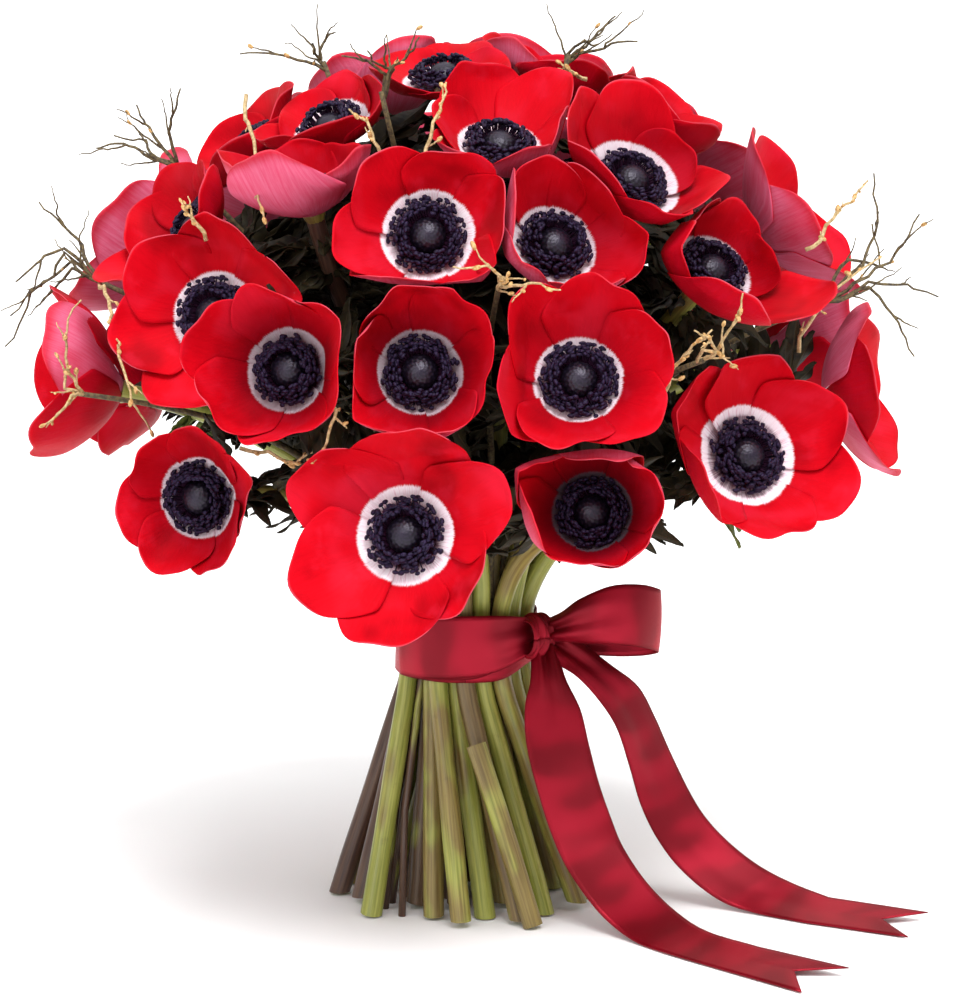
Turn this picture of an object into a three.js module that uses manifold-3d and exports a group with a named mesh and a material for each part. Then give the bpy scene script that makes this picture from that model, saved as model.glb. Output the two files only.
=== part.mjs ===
// A hand-tied bouquet of red anemones that stands on its own cut stems.
// Millimetres and degrees, +Z up. The origin is on the floor, on the axis of the bundle of stems.
// Azimuth 0 faces the viewer along -Y and grows towards +X. Latitude 90 points straight up.
import * as THREE from 'three';
import { mergeVertices } from 'three/addons/utils/BufferGeometryUtils.js';
import Module from 'manifold-3d';

const wasm = await Module();
wasm.setup();

// The round head of the bouquet
const HEAD_CENTRE = new THREE.Vector3(0, 0, 183);
const HEAD_RADIUS = 138; // from that centre to the foot of a bloom with no lift
const SEAT_GAP = 0.3; // between a bloom, its eye and its stem

// The bundle of stems
const STEM_RADIUS = 3.8;
const STALK_RADIUS = 1.5;
const STEM_SIDES = 5;
const TWIG_SIDES = 3; // of all that is thinner: twigs, stalks and stamens
const STALK_SPACE = 0.35; // between a twig's stalk and the stems beside it at the tie
const PACK_PASSES = 900;
const PACK_PULL = 0.985;
const PACK_REACH = 23.6; // no stem passes the tie further out than this
const PACK_START = 24; // and before the packing the lowest bloom's stem lies this far out
const TIE_Z = 106;
const TIE_HALF = 13; // the waist of the bundle reaches this far above and below the tie
const FLOOR_SPREAD = 2.2; // the bundle on the floor against the bundle at the tie
const FLOOR_TWIST = 27;
const HEAD_TWIST = 18;
const CORE_HEIGHT = 3; // of the pressed middle of the bundle, hidden by the ribbon
const CORE_SIDES = 9;

// Petals
const PETAL_THICKNESS = 0.7;
const PETAL_OVERLAP = 1.36; // petal width against an even share of the ring
const PETAL_STAGGER = 2.2; // one edge of a petal lies this far over its middle, the other under
const PETAL_CURL = 2.2;
const FOOT_OUT = 4.6; // where a petal's middle line starts, from the bloom's axis
const FOOT_UP = -1.3;
const PETAL_NECK = 0.13; // up to this share of its length a petal keeps to its own sector
const NECK_SHARE = 0.94;
const MOST_SHARE = 1.4; // and nowhere does it reach further than this share of half a sector
const OPENINGS = {
  open: { start: 11, end: 30, eyeWidth: 1 },
  bowl: { start: 15, end: 46, eyeWidth: 0.93 },
  cup: { start: 22, end: 66, eyeWidth: 0.72 },
};

// Room between neighbours: each bloom keeps to its side of a wall between the two.
const WALL_GAP = 0.9;
const WALL_SOFTENS_AT = 6;
const WALL_PRESS = 6; // a petal may lean this far through a wall before it is raised instead
const WALL_REACH = 118; // blooms further apart than this never meet
const WALL_HEIGHT = 10;
const LEAN_PER_LIFT = 3.2;
const MOST_LEAN = 48;
const TWIG_ROOM = 3.4;
const RAISE_STEPS = 24;
const RAISE_STEP = 4;
const STEEPEST = 100; // the slope of a petal's tip that no raising passes
const FOOT_RAISE = 0.35; // the foot of a petal rises by this share of its tip

// name, place (azimuth, latitude), lift, facing (azimuth, latitude), petal length, opening, number of
// petals, spin, own eye
const BLOOMS = [
  ['01', -48, 27, 2, -24, 17, 41, 'open', 6, 20, true],
  ['02', -26, 19, 13, -22, 13, 41, 'cup', 6, 40, true],
  ['03', -73, 40, 0, -66, 44, 40, 'bowl', 6, 15, false],
  ['04', -87, 10, 2, -92, 6, 41, 'bowl', 5, 33, false],
  ['05', -45, -1, 0, -32, 4, 35, 'bowl', 6, 12, true],
  ['06', -8, -3, 12, -9, 13, 44, 'open', 6, 25, true],
  ['07', -7, 20, 4, -4, 16, 43, 'bowl', 6, 50, true],
  ['08', -7, 41, 8, -3, 24, 39, 'open', 6, 8, true],
  ['09', 17, 40, 3, 24, 34, 42, 'bowl', 6, 36, true],
  ['10', 17, 18, 10, 3, 25, 41, 'open', 6, 15, true],
  ['11', 19, -1, 5, 2, 10, 40, 'cup', 6, 22, true],
  ['12', 46, 5, 6, 31, 22, 43, 'open', 6, 28, true],
  ['13', 49, 33, 5, 45, 46, 43, 'bowl', 6, 55, false],
  ['14', 39, 49, 9, 34, 49, 41, 'open', 6, 16, true],
  ['15', 10, 60, 4, 8, 58, 40, 'bowl', 6, 38, true],
  ['16', -26, 83, 8, -20, 78, 38, 'bowl', 5, 22, false],
  ['17', -58, 65, 2, -58, 62, 37, 'cup', 5, 22, false],
  ['18', -103, 54, 4, -103, 52, 41, 'bowl', 5, 48, false],
  ['19', -38, 48, 1, -40, 52, 40, 'bowl', 5, 2, false],
  ['20', 112, 76, 4, 112, 74, 40, 'bowl', 5, 35, false],
  ['21', 84, 60, 2, 84, 58, 38, 'cup', 5, 14, false],
  ['22', 84, 36, 6, 84, 34, 42, 'bowl', 5, 42, false],
  ['23', 84, 9, 7, 84, 9, 43, 'cup', 5, 26, false],
  ['24', 112, 14, 1, 112, 12, 43, 'bowl', 5, 8, false],
  ['25', 139, 5, 5, 139, 8, 41, 'open', 5, 31, false],
  ['26', 166, 13, 1, 166, 14, 43, 'bowl', 5, 54, false],
  ['27', 192, 4, 6, 192, 6, 41, 'open', 5, 17, false],
  ['28', 219, 12, 1, 219, 14, 43, 'bowl', 5, 40, false],
  ['29', 246, 5, 5, 246, 7, 41, 'open', 5, 3, false],
  ['30', 122, 42, 4, 122, 42, 42, 'open', 5, 29, false],
  ['31', 154, 39, 1, 154, 38, 43, 'bowl', 5, 51, false],
  ['32', 187, 34, 6, 187, 34, 42, 'open', 5, 12, false],
  ['33', 221, 39, 1, 221, 40, 43, 'bowl', 5, 37, false],
  ['34', 252, 30, 5, 252, 29, 43, 'bowl', 5, 24, false],
  ['35', 160, 65, 6, 160, 64, 40, 'open', 5, 30, false],
  ['36', 215, 65, 2, 215, 66, 39, 'bowl', 5, 22, false],
].map(([name, azimuth, latitude, lift, faceAzimuth, faceLatitude, petal, opening, petals, spin, ownEye]) => ({
  name, azimuth, latitude, lift, faceAzimuth, faceLatitude, petal, petals, spin, ownEye, ...OPENINGS[opening],
}));

const rad = THREE.MathUtils.degToRad;
const UP = new THREE.Vector3(0, 0, 1);

function direction(azimuth, latitude) {
  const level = Math.cos(rad(latitude));
  const across = Math.sin(rad(azimuth)) * level;
  return new THREE.Vector3(across, -Math.cos(rad(azimuth)) * level, Math.sin(rad(latitude)));
}

// The twigs: place where each stands out of the head, then its shoots as lists of points
const TWIGS = [
  {
    name: 'twigs_left',
    azimuth: -88,
    latitude: 25,
    shoots: [
      [[-158, -5, 262], [-172, -3, 246], [-183, 0, 224]],
      [[-156, 4, 258], [-170, 8, 247], [-182, 10, 235]],
      [[-158, -8, 264], [-169, -10, 258], [-177, -10, 251]],
      [[-152, 4, 264], [-160, 5, 272], [-169, 5, 281]],
    ],
  },
  {
    name: 'twigs_upper_left',
    azimuth: -86,
    latitude: 45,
    shoots: [
      [[-126, -8, 301], [-134, -6, 305], [-145, -4, 303]],
      [[-122, -8, 308], [-126, -6, 314], [-129, -4, 320]],
      [[-116, -10, 310], [-113, -12, 319], [-111, -12, 327]],
    ],
  },
  {
    name: 'twigs_low_left',
    azimuth: -68,
    latitude: 11,
    shoots: [
      [[-151, -62, 222], [-152, -62, 236], [-146, -60, 250]],
      [[-150, -64, 214], [-156, -66, 206], [-162, -66, 202]],
    ],
  },
  {
    name: 'twigs_top_left',
    azimuth: -82,
    latitude: 70,
    shoots: [
      [[-57, -6, 341], [-55, -4, 345], [-51, 0, 348]],
      [[-62, -8, 337], [-75, -8, 340], [-88, -8, 340]],
    ],
  },
  {
    name: 'twigs_upper_front',
    azimuth: -25,
    latitude: 63,
    shoots: [
      [[-30, -66, 336], [-36, -70, 341], [-46, -72, 343]],
      [[-28, -66, 338], [-21, -70, 344], [-17, -74, 350]],
    ],
  },
  {
    name: 'twigs_centre',
    azimuth: 5,
    latitude: 30,
    shoots: [
      [[14, -150, 268], [8, -156, 274], [-4, -160, 274]],
      [[16, -150, 266], [24, -158, 268], [34, -162, 266]],
    ],
  },
  {
    name: 'twigs_front_right',
    azimuth: 34,
    latitude: 19,
    shoots: [
      [[91, -134, 240], [88, -142, 246], [82, -150, 250]],
      [[92, -134, 242], [98, -138, 252], [100, -138, 262]],
    ],
  },
  {
    name: 'twigs_right',
    azimuth: 70,
    latitude: 24,
    shoots: [
      [[152, -50, 262], [158, -44, 278], [157, -36, 296]],
      [[154, -52, 258], [166, -44, 268], [175, -34, 280]],
      [[154, -52, 256], [170, -44, 254], [183, -34, 248]],
      [[154, -52, 254], [166, -50, 240], [173, -44, 226]],
    ],
  },
  {
    name: 'twigs_top_right',
    azimuth: 62,
    latitude: 74,
    shoots: [
      [[43, -20, 342], [51, -18, 349], [58, -14, 355]],
      [[44, -20, 341], [56, -26, 345], [66, -30, 346]],
    ],
  },
  {
    name: 'twigs_back',
    azimuth: 204,
    latitude: 21,
    shoots: [
      [[-64, 144, 252], [-72, 152, 262], [-76, 156, 276]],
      [[-62, 148, 250], [-57, 160, 258], [-52, 170, 264]],
    ],
  },
];

// ---------------------------------------------------------------- solids

function solidOf(geometry) {
  const bare = geometry.index ? geometry.toNonIndexed() : geometry.clone();
  bare.deleteAttribute('normal');
  bare.deleteAttribute('uv');
  const merged = mergeVertices(bare, 1e-4);
  const vertProperties = merged.attributes.position.array;
  const triVerts = new Uint32Array(merged.index.array);
  return new wasm.Manifold(new wasm.Mesh({ numProp: 3, vertProperties, triVerts }));
}

// A solid from a list of triangles, each of three points.
function welded(triangles) {
  return solidOf(new THREE.BufferGeometry().setFromPoints(triangles.flat()));
}

function geometryOf(solid) {
  const mesh = solid.getMesh();
  const geometry = new THREE.BufferGeometry();
  geometry.setAttribute('position', new THREE.BufferAttribute(mesh.vertProperties, 3));
  geometry.setIndex(new THREE.BufferAttribute(mesh.triVerts, 1));
  geometry.computeVertexNormals();
  return geometry;
}

function joined(solids) {
  return solids.reduce((whole, piece) => whole.add(piece));
}

// The triangles of a thin solid round a triangulated middle surface: both faces lie half the
// thickness off it. The points of its first row may be given for both faces, and that edge is then left open.
function sheet(points, faces, thickness, firstRow) {
  const normals = points.map(() => new THREE.Vector3());
  for (const face of faces) {
    const [a, b, c] = face.map((i) => points[i]);
    const normal = b.clone().sub(a).cross(c.clone().sub(a));
    face.forEach((i) => normals[i].add(normal));
  }
  normals.forEach((normal) => normal.normalize());
  const half = thickness / 2;
  const top = points.map((point, i) => point.clone().addScaledVector(normals[i], half));
  const under = points.map((point, i) => point.clone().addScaledVector(normals[i], -half));
  if (firstRow) {
    top.splice(0, firstRow.top.length, ...firstRow.top);
    under.splice(0, firstRow.under.length, ...firstRow.under);
  }
  const edges = new Set(faces.flatMap(([a, b, c]) => [`${a} ${b}`, `${b} ${c}`, `${c} ${a}`]));
  const shell = faces.flatMap(([a, b, c]) => [[top[a], top[b], top[c]], [under[a], under[c], under[b]]]);
  for (const edge of edges) {
    const [a, b] = edge.split(' ').map(Number);
    const isOpen = firstRow && Math.max(a, b) < firstRow.top.length;
    if (!edges.has(`${b} ${a}`) && !isOpen) {
      shell.push([top[b], top[a], under[a]], [top[b], under[a], under[b]]);
    }
  }
  return shell;
}

// Triangles between two rows of points that run the same way.
function stitch(low, high) {
  const faces = [];
  let i = 0;
  let j = 0;
  while (i < low.length - 1 || j < high.length - 1) {
    const lowNext = (i + 1) / (low.length - 1);
    const highNext = (j + 1) / (high.length - 1);
    if (j < high.length - 1 && (i === low.length - 1 || highNext <= lowNext)) {
      faces.push([low[i], high[j], high[j + 1]]);
      j += 1;
    } else {
      faces.push([low[i], high[j], low[i + 1]]);
      i += 1;
    }
  }
  return faces;
}

// A tapering round limb through a list of points, with a ring of corners at each.
function limb(points, radii, sides, firstDirection, lastDirection) {
  const corners = [];
  let across = new THREE.Vector3(1, 0.13, 0.07);
  points.forEach((point, i) => {
    const before = points[Math.max(i - 1, 0)];
    const after = points[Math.min(i + 1, points.length - 1)];
    let along = after.clone().sub(before).normalize();
    if (i === 0 && firstDirection) along = firstDirection;
    if (i === points.length - 1 && lastDirection) along = lastDirection;
    across = across.clone().addScaledVector(along, -across.dot(along)).normalize();
    const other = along.clone().cross(across);
    for (let k = 0; k < sides; k += 1) {
      const angle = (2 * Math.PI * k) / sides;
      const corner = point.clone().addScaledVector(across, radii[i] * Math.cos(angle));
      corners.push(corner.addScaledVector(other, radii[i] * Math.sin(angle)));
    }
  });
  const faces = [];
  for (let i = 0; i < points.length - 1; i += 1) {
    for (let k = 0; k < sides; k += 1) {
      const a = i * sides + k;
      const b = i * sides + (k + 1) % sides;
      faces.push([a, b, b + sides], [a, b + sides, a + sides]);
    }
  }
  const last = (points.length - 1) * sides;
  for (let k = 1; k < sides - 1; k += 1) {
    faces.push([0, k + 1, k], [last, last + k, last + k + 1]);
  }
  return welded(faces.map((face) => face.map((i) => corners[i])));
}

// A turned solid: the profile's pairs are radius and height, from the axis back to the axis.
function turned(profile, sides) {
  const lathe = new THREE.LatheGeometry(profile.map(([r, h]) => new THREE.Vector2(r, h)), sides);
  return lathe.rotateX(Math.PI / 2);
}

// ---------------------------------------------------------------- blooms

// The place, the axis and two directions across it, for one bloom.
for (const bloom of BLOOMS) {
  bloom.out = direction(bloom.azimuth, bloom.latitude);
  bloom.radius = HEAD_RADIUS + bloom.lift;
  bloom.foot = HEAD_CENTRE.clone().addScaledVector(bloom.out, bloom.radius);
  bloom.axis = direction(bloom.faceAzimuth, bloom.faceLatitude);
  bloom.side = UP.clone().cross(bloom.axis).normalize();
  bloom.over = bloom.axis.clone().cross(bloom.side);
  bloom.frame = new THREE.Matrix4().makeBasis(bloom.side, bloom.over, bloom.axis).setPosition(bloom.foot);
}
for (const twig of TWIGS) {
  twig.out = direction(twig.azimuth, twig.latitude);
}

// A petal's middle line: how far out and up it is, and its slope, at a share s of its length.
function profile(bloom, length, s, raise) {
  const start = rad(bloom.start + FOOT_RAISE * raise);
  const bend = rad(bloom.end + raise) - start;
  const slope = start + bend * s;
  return {
    out: FOOT_OUT + (length * (Math.sin(slope) - Math.sin(start))) / bend,
    up: FOOT_UP + (length * (Math.cos(start) - Math.cos(slope))) / bend,
    slope,
  };
}

function spread(bloom) {
  return profile(bloom, bloom.petal, 1, 0).out;
}

// The walls round one bloom: a point in each, and the direction back to the bloom's own side.
function wallsOf(bloom) {
  const walls = [];
  const neighbours = [...BLOOMS, ...TWIGS].filter((other) => other !== bloom);
  for (const other of neighbours) {
    const isTwig = other.shoots !== undefined;
    const angle = bloom.out.angleTo(other.out);
    const distance = angle * HEAD_RADIUS;
    if (distance > WALL_REACH) continue;
    const otherLift = isTwig ? bloom.lift : other.lift;
    const share = isTwig ? 1 - TWIG_ROOM / distance : spread(bloom) / (spread(bloom) + spread(other));
    const radial = turnedTowards(bloom.out, other.out, angle, share);
    const away = radial.clone().cross(other.out.clone().cross(bloom.out)).normalize().negate();
    const lean = rad(THREE.MathUtils.clamp(LEAN_PER_LIFT * (bloom.lift - otherLift), -MOST_LEAN, MOST_LEAN));
    const height = HEAD_RADIUS + WALL_HEIGHT + (bloom.lift + otherLift) / 2;
    walls.push({
      point: HEAD_CENTRE.clone().addScaledVector(radial, height),
      normal: away.multiplyScalar(Math.cos(lean)).addScaledVector(radial, Math.sin(lean)),
    });
  }
  return walls;
}

// The direction that lies a share of the way from one direction to another.
function turnedTowards(from, to, angle, share) {
  const start = Math.sin((1 - share) * angle) / Math.sin(angle);
  const end = Math.sin(share * angle) / Math.sin(angle);
  return from.clone().multiplyScalar(start).addScaledVector(to, end);
}

function inFrame(bloom, out, up, azimuth) {
  const point = bloom.foot.clone().addScaledVector(bloom.axis, up);
  point.addScaledVector(bloom.side, out * Math.cos(azimuth));
  return point.addScaledVector(bloom.over, out * Math.sin(azimuth));
}

// How far the outer half of a petal line would reach through the walls.
function reachThrough(bloom, azimuth, raise) {
  let deepest = -Infinity;
  for (const s of [0.6, 0.8, 1]) {
    const { out, up } = profile(bloom, bloom.petal, s, raise);
    const point = inFrame(bloom, out, up, azimuth);
    for (const wall of bloom.walls) {
      deepest = Math.max(deepest, -point.clone().sub(wall.point).dot(wall.normal));
    }
  }
  return deepest;
}

// Petals that would lean through a wall are raised, evenly from one azimuth to the next.
function raisesOf(bloom) {
  let raises = [];
  for (let k = 0; k < RAISE_STEPS; k += 1) {
    const azimuth = (2 * Math.PI * k) / RAISE_STEPS;
    let raise = 0;
    while (bloom.end + raise < STEEPEST && reachThrough(bloom, azimuth, raise) > WALL_PRESS) {
      raise += RAISE_STEP;
    }
    raises.push(raise);
  }
  const beside = (list, k, step) => list[(k + step + RAISE_STEPS) % RAISE_STEPS];
  raises = raises.map((raise, k) => Math.max(raise, beside(raises, k, 1), beside(raises, k, -1)));
  for (let pass = 0; pass < 3; pass += 1) {
    raises = raises.map((raise, k) => (2 * raise + beside(raises, k, 1) + beside(raises, k, -1)) / 4);
  }
  return raises;
}

function raiseAt(bloom, azimuth) {
  const turn = ((azimuth / (2 * Math.PI)) % 1 + 1) % 1;
  const place = turn * RAISE_STEPS;
  const k = Math.floor(place);
  const share = place - k;
  return bloom.raises[k % RAISE_STEPS] * (1 - share) + bloom.raises[(k + 1) % RAISE_STEPS] * share;
}

// Presses a point back to its own side of every wall, softly at first and never past the gap.
function keptInside(bloom, point) {
  const slope = (WALL_SOFTENS_AT - WALL_GAP) / (WALL_SOFTENS_AT + WALL_PRESS);
  for (let pass = 0; pass < 3; pass += 1) {
    for (const wall of bloom.walls) {
      const distance = point.clone().sub(wall.point).dot(wall.normal);
      const least = pass === 0 ? WALL_SOFTENS_AT : WALL_GAP;
      if (distance < least) {
        const eased = pass === 0 ? WALL_GAP + slope * (distance + WALL_PRESS) : WALL_GAP;
        point.addScaledVector(wall.normal, Math.max(eased, WALL_GAP) - distance);
      }
    }
  }
  return point;
}

// Half a petal's width at a share s of its length, against its widest.
function fullness(s) {
  const widest = 0.62;
  if (s < widest) return 0.14 + 0.86 * Math.sin((Math.PI / 2) * (s / widest));
  return Math.sqrt(Math.max(0, 1 - ((s - widest) / (1 - widest)) ** 2));
}

// A point on petal k: s runs from its foot to its tip, t from -1 to 1 across it.
function petalPoint(bloom, k, s, t) {
  const middle = rad(bloom.spin) + (2 * Math.PI * k) / bloom.petals;
  const length = bloom.petal * (1 + 0.05 * Math.sin(2.4 * k + bloom.spin));
  const halfWidth = (Math.PI * profile(bloom, length, 0.62, 0).out * PETAL_OVERLAP) / bloom.petals;
  const first = profile(bloom, length, s, raiseAt(bloom, middle));
  const sector = Math.PI / bloom.petals;
  const halfAngle = Math.min((halfWidth * fullness(s)) / first.out, MOST_SHARE * sector);
  const azimuth = middle + t * (s <= PETAL_NECK ? NECK_SHARE * sector : halfAngle);
  const { out, up, slope } = profile(bloom, length, s, raiseAt(bloom, azimuth));
  const off = Math.min(1, s / PETAL_NECK) * PETAL_STAGGER * t + PETAL_CURL * s * t * t;
  return keptInside(bloom, inFrame(bloom, out - off * Math.sin(slope), up + off * Math.cos(slope), azimuth));
}

// The rows of points across a petal: how far along, and the places across. Blooms with more petals have more.
const PETAL_ROWS = {
  5: [[PETAL_NECK, [-1, 1]], [0.6, [-1, 0, 1]], [0.96, [-1, 1]]],
  6: [[PETAL_NECK, [-1, 1]], [0.45, [-1, 0, 1]], [0.78, [-1, 0, 1]], [0.97, [-1, 1]]],
};

function petalShell(bloom, k, ring) {
  const next = (k + 1) % bloom.petals;
  const firstRow = { top: [ring.top[k], ring.top[next]], under: [ring.under[k], ring.under[next]] };
  const points = firstRow.top.map((corner, i) => corner.clone().lerp(firstRow.under[i], 0.5));
  const rows = PETAL_ROWS[bloom.petals].map(([s, places]) => {
    return places.map((t) => points.push(petalPoint(bloom, k, s, t)) - 1);
  });
  rows.unshift([0, 1]);
  const faces = rows.slice(1).flatMap((row, i) => stitch(rows[i], row));
  return sheet(points, faces, PETAL_THICKNESS, firstRow);
}

// A closed ring of corners round the bloom's axis, one between every two petals.
function hubRing(bloom, [out, up]) {
  const corners = [];
  for (let k = 0; k < bloom.petals; k += 1) {
    corners.push(inFrame(bloom, out, up, rad(bloom.spin) + (2 * Math.PI * (k - 0.5)) / bloom.petals));
  }
  return corners;
}

function band(lower, upper) {
  return lower.flatMap((corner, k) => {
    const next = (k + 1) % lower.length;
    return [[corner, lower[next], upper[next]], [corner, upper[next], upper[k]]];
  });
}

function lid(ring, centre) {
  return ring.map((corner, k) => [corner, ring[(k + 1) % ring.length], centre]);
}

// The heart of a bloom, as pairs of radius and height: the receptacle below the petals' feet and,
// over them, either the shallow middle that an own eye sits in or a small boss.
const RECEPTACLE = [4, -3.6];
const MIDDLE_TOP = -0.6;
const SMALL_BOSS = [[5.6, 3.6], [4, 7.2]];
const SMALL_BOSS_TOP = 8.4;

function bloomSolid(bloom) {
  const ring = {
    top: hubRing(bloom, [FOOT_OUT, FOOT_UP + PETAL_THICKNESS / 2]),
    under: hubRing(bloom, [FOOT_OUT, FOOT_UP - PETAL_THICKNESS / 2]),
  };
  const base = hubRing(bloom, RECEPTACLE);
  const triangles = [...band(base, ring.under)];
  triangles.push(...lid(base.slice().reverse(), inFrame(bloom, 0, RECEPTACLE[1], 0)));
  const rings = [ring.top];
  if (!bloom.ownEye) rings.push(...SMALL_BOSS.map((size) => hubRing(bloom, size)));
  rings.slice(1).forEach((upper, i) => triangles.push(...band(rings[i], upper)));
  const top = inFrame(bloom, 0, bloom.ownEye ? MIDDLE_TOP : SMALL_BOSS_TOP, 0);
  triangles.push(...lid(rings.at(-1), top));
  for (let k = 0; k < bloom.petals; k += 1) {
    triangles.push(...petalShell(bloom, k, ring));
  }
  return welded(triangles);
}

function placedIn(bloom, geometry) {
  return solidOf(geometry.applyMatrix4(bloom.frame));
}

// An eye: the dark boss, and round it a ring of stamens
const BOSS = [[0, SEAT_GAP], [3, SEAT_GAP], [6.8, 4.6], [5.4, 8.6], [0, 10.4]];
const BOSS_SIDES = 7;
const STAMENS = 9;
const STAMEN_ROOT = { out: 4.6, up: 5 };
const STAMEN_TIP = { out: 11.8, up: 10.6 };
const STAMEN_RADII = [0.5, 1];

function eyeSolid(bloom) {
  const pieces = [placedIn(bloom, turned(BOSS, BOSS_SIDES))];
  for (let k = 0; k < STAMENS; k += 1) {
    const azimuth = (2 * Math.PI * k) / STAMENS;
    const root = inFrame(bloom, STAMEN_ROOT.out, STAMEN_ROOT.up, azimuth);
    const points = [root, inFrame(bloom, STAMEN_TIP.out * bloom.eyeWidth, STAMEN_TIP.up, azimuth)];
    pieces.push(limb(points, STAMEN_RADII, TWIG_SIDES));
  }
  return joined(pieces);
}

for (const bloom of BLOOMS) {
  bloom.walls = wallsOf(bloom);
  bloom.raises = raisesOf(bloom);
}

// ---------------------------------------------------------------- stems

// Where each stem and stalk passes the tie: spread by the place of its bloom, then pushed apart.
function packTie(members) {
  for (const member of members) {
    const share = (90 - member.latitude) / 95;
    const azimuth = rad(member.azimuth + HEAD_TWIST);
    const out = PACK_START * share ** 0.8;
    member.tie = new THREE.Vector2(out * Math.sin(azimuth), -out * Math.cos(azimuth));
  }
  for (let pass = 0; pass < PACK_PASSES; pass += 1) {
    members.forEach((member) => member.tie.multiplyScalar(pass < PACK_PASSES / 2 ? PACK_PULL : 1));
    members.forEach((one, i) => members.slice(i + 1).forEach((two) => pushApart(one, two)));
    members.forEach((member) => member.tie.clampLength(0, PACK_REACH));
  }
}

function pushApart(one, two) {
  const between = two.tie.clone().sub(one.tie);
  const distance = between.length();
  const least = one.thickness + two.thickness;
  if (distance < least) {
    const push = between.multiplyScalar((least - distance) / (2 * distance));
    one.tie.sub(push);
    two.tie.add(push);
  }
}

BLOOMS.forEach((bloom) => { bloom.thickness = STEM_RADIUS; });
TWIGS.forEach((twig) => { twig.thickness = STALK_RADIUS + STALK_SPACE; });
packTie([...BLOOMS, ...TWIGS]);

// The bundle at a height from the floor to the tie is the bundle at the tie, widened and turned.
function lowerPoint(member, z) {
  const down = Math.max(0, 1 - z / (TIE_Z - TIE_HALF));
  const point = member.tie.clone().multiplyScalar(1 + (FLOOR_SPREAD - 1) * down);
  point.rotateAround(new THREE.Vector2(), rad(FLOOR_TWIST * down));
  return new THREE.Vector3(point.x, point.y, z);
}

// Above the tie a stem bends out to its bloom and meets it along the bloom's axis.
function upperCurve(member, end, endDirection) {
  const start = new THREE.Vector3(member.tie.x, member.tie.y, TIE_Z + TIE_HALF);
  const outward = new THREE.Vector3(member.tie.x, member.tie.y, 0).multiplyScalar(0.6);
  const rise = start.distanceTo(end) * 0.36;
  const first = start.clone().add(outward).addScaledVector(UP, rise);
  const last = end.clone().addScaledVector(endDirection, -rise);
  return new THREE.CubicBezierCurve3(start, first, last, end);
}

function stemTop(bloom) {
  return bloom.foot.clone().addScaledVector(bloom.axis, RECEPTACLE[1] - SEAT_GAP);
}

function stemSolid(bloom) {
  const curve = upperCurve(bloom, stemTop(bloom), bloom.axis);
  const points = [lowerPoint(bloom, 0), lowerPoint(bloom, TIE_Z - TIE_HALF)];
  [0, 0.35, 0.7, 1].forEach((share) => points.push(curve.getPoint(share)));
  return limb(points, points.map(() => STEM_RADIUS), STEM_SIDES, UP, bloom.axis);
}

function stalkEndSolid(twig) {
  const points = [lowerPoint(twig, 0), lowerPoint(twig, TIE_Z - TIE_HALF), lowerPoint(twig, TIE_Z)];
  return limb(points, points.map(() => STALK_RADIUS), TWIG_SIDES, UP);
}

// The frilled leaves: the bloom whose stem bears the leaf, how far up it, where the leaf points
// (azimuth, latitude), and how far it is turned about its own length.
const LEAVES = [
  ['05', 0.8, -58, -38, 30],
  ['04', 0.8, -78, -34, 20],
  ['06', 0.78, 8, -40, 10],
  ['11', 0.8, 32, -34, -20],
  ['12', 0.8, 42, -36, -30],
  ['23', 0.8, 92, -32, 0],
  ['25', 0.8, 132, -36, 15],
  ['27', 0.8, 186, -38, -10],
  ['26', 0.76, 164, -34, 20],
  ['29', 0.8, 240, -36, 20],
  ['01', 0.8, -64, -12, 60],
];
const LEAF_THICKNESS = 0.7;
// Three lobes: along the leaf, across it and above its plane
const LEAF_POINTS = [
  [2, -1.3, 0],
  [2, 1.3, 0],
  [11, -7, 1],
  [26, -15, 4],
  [19, -5, 1],
  [35, 0, -2],
  [19, 5, 1],
  [26, 15, 4],
  [11, 7, 1],
];
const LEAF_FACES = [[0, 2, 4], [2, 3, 4], [0, 4, 1], [1, 4, 6], [4, 5, 6], [1, 6, 8], [6, 7, 8]];

function leafSolid([name, share, azimuth, latitude, turn]) {
  const bloom = BLOOMS.find((one) => one.name === name);
  const curve = upperCurve(bloom, stemTop(bloom), bloom.axis);
  const along = direction(azimuth, latitude);
  const across = UP.clone().cross(along).normalize().applyAxisAngle(along, rad(turn));
  const frame = new THREE.Matrix4().makeBasis(along, across, along.clone().cross(across));
  frame.setPosition(curve.getPoint(share));
  const points = LEAF_POINTS.map((point) => new THREE.Vector3(...point).applyMatrix4(frame));
  return welded(sheet(points, LEAF_FACES, LEAF_THICKNESS));
}

const BUNDLE_RADIUS = Math.max(...BLOOMS.map((bloom) => bloom.tie.length()));

function stemsSolid() {
  const core = new THREE.CylinderGeometry(BUNDLE_RADIUS - 1, BUNDLE_RADIUS - 1, CORE_HEIGHT, CORE_SIDES);
  core.rotateX(Math.PI / 2).translate(0, 0, TIE_Z);
  const growing = [...BLOOMS.map(stemSolid), ...LEAVES.map(leafSolid)];
  return joined([solidOf(core), ...growing, ...TWIGS.map(stalkEndSolid)]);
}

// ---------------------------------------------------------------- twigs

const STALK_TOP = 164; // from the head's centre to where a stalk divides
const STALK_RADII = [1.5, 1.5, 1.5, 1.4, 1.2, 1.0];
const SHOOT_RADII = [0.7, 0.9, 0.8, 1.6, 0.5]; // the fourth is the bud's

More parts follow.
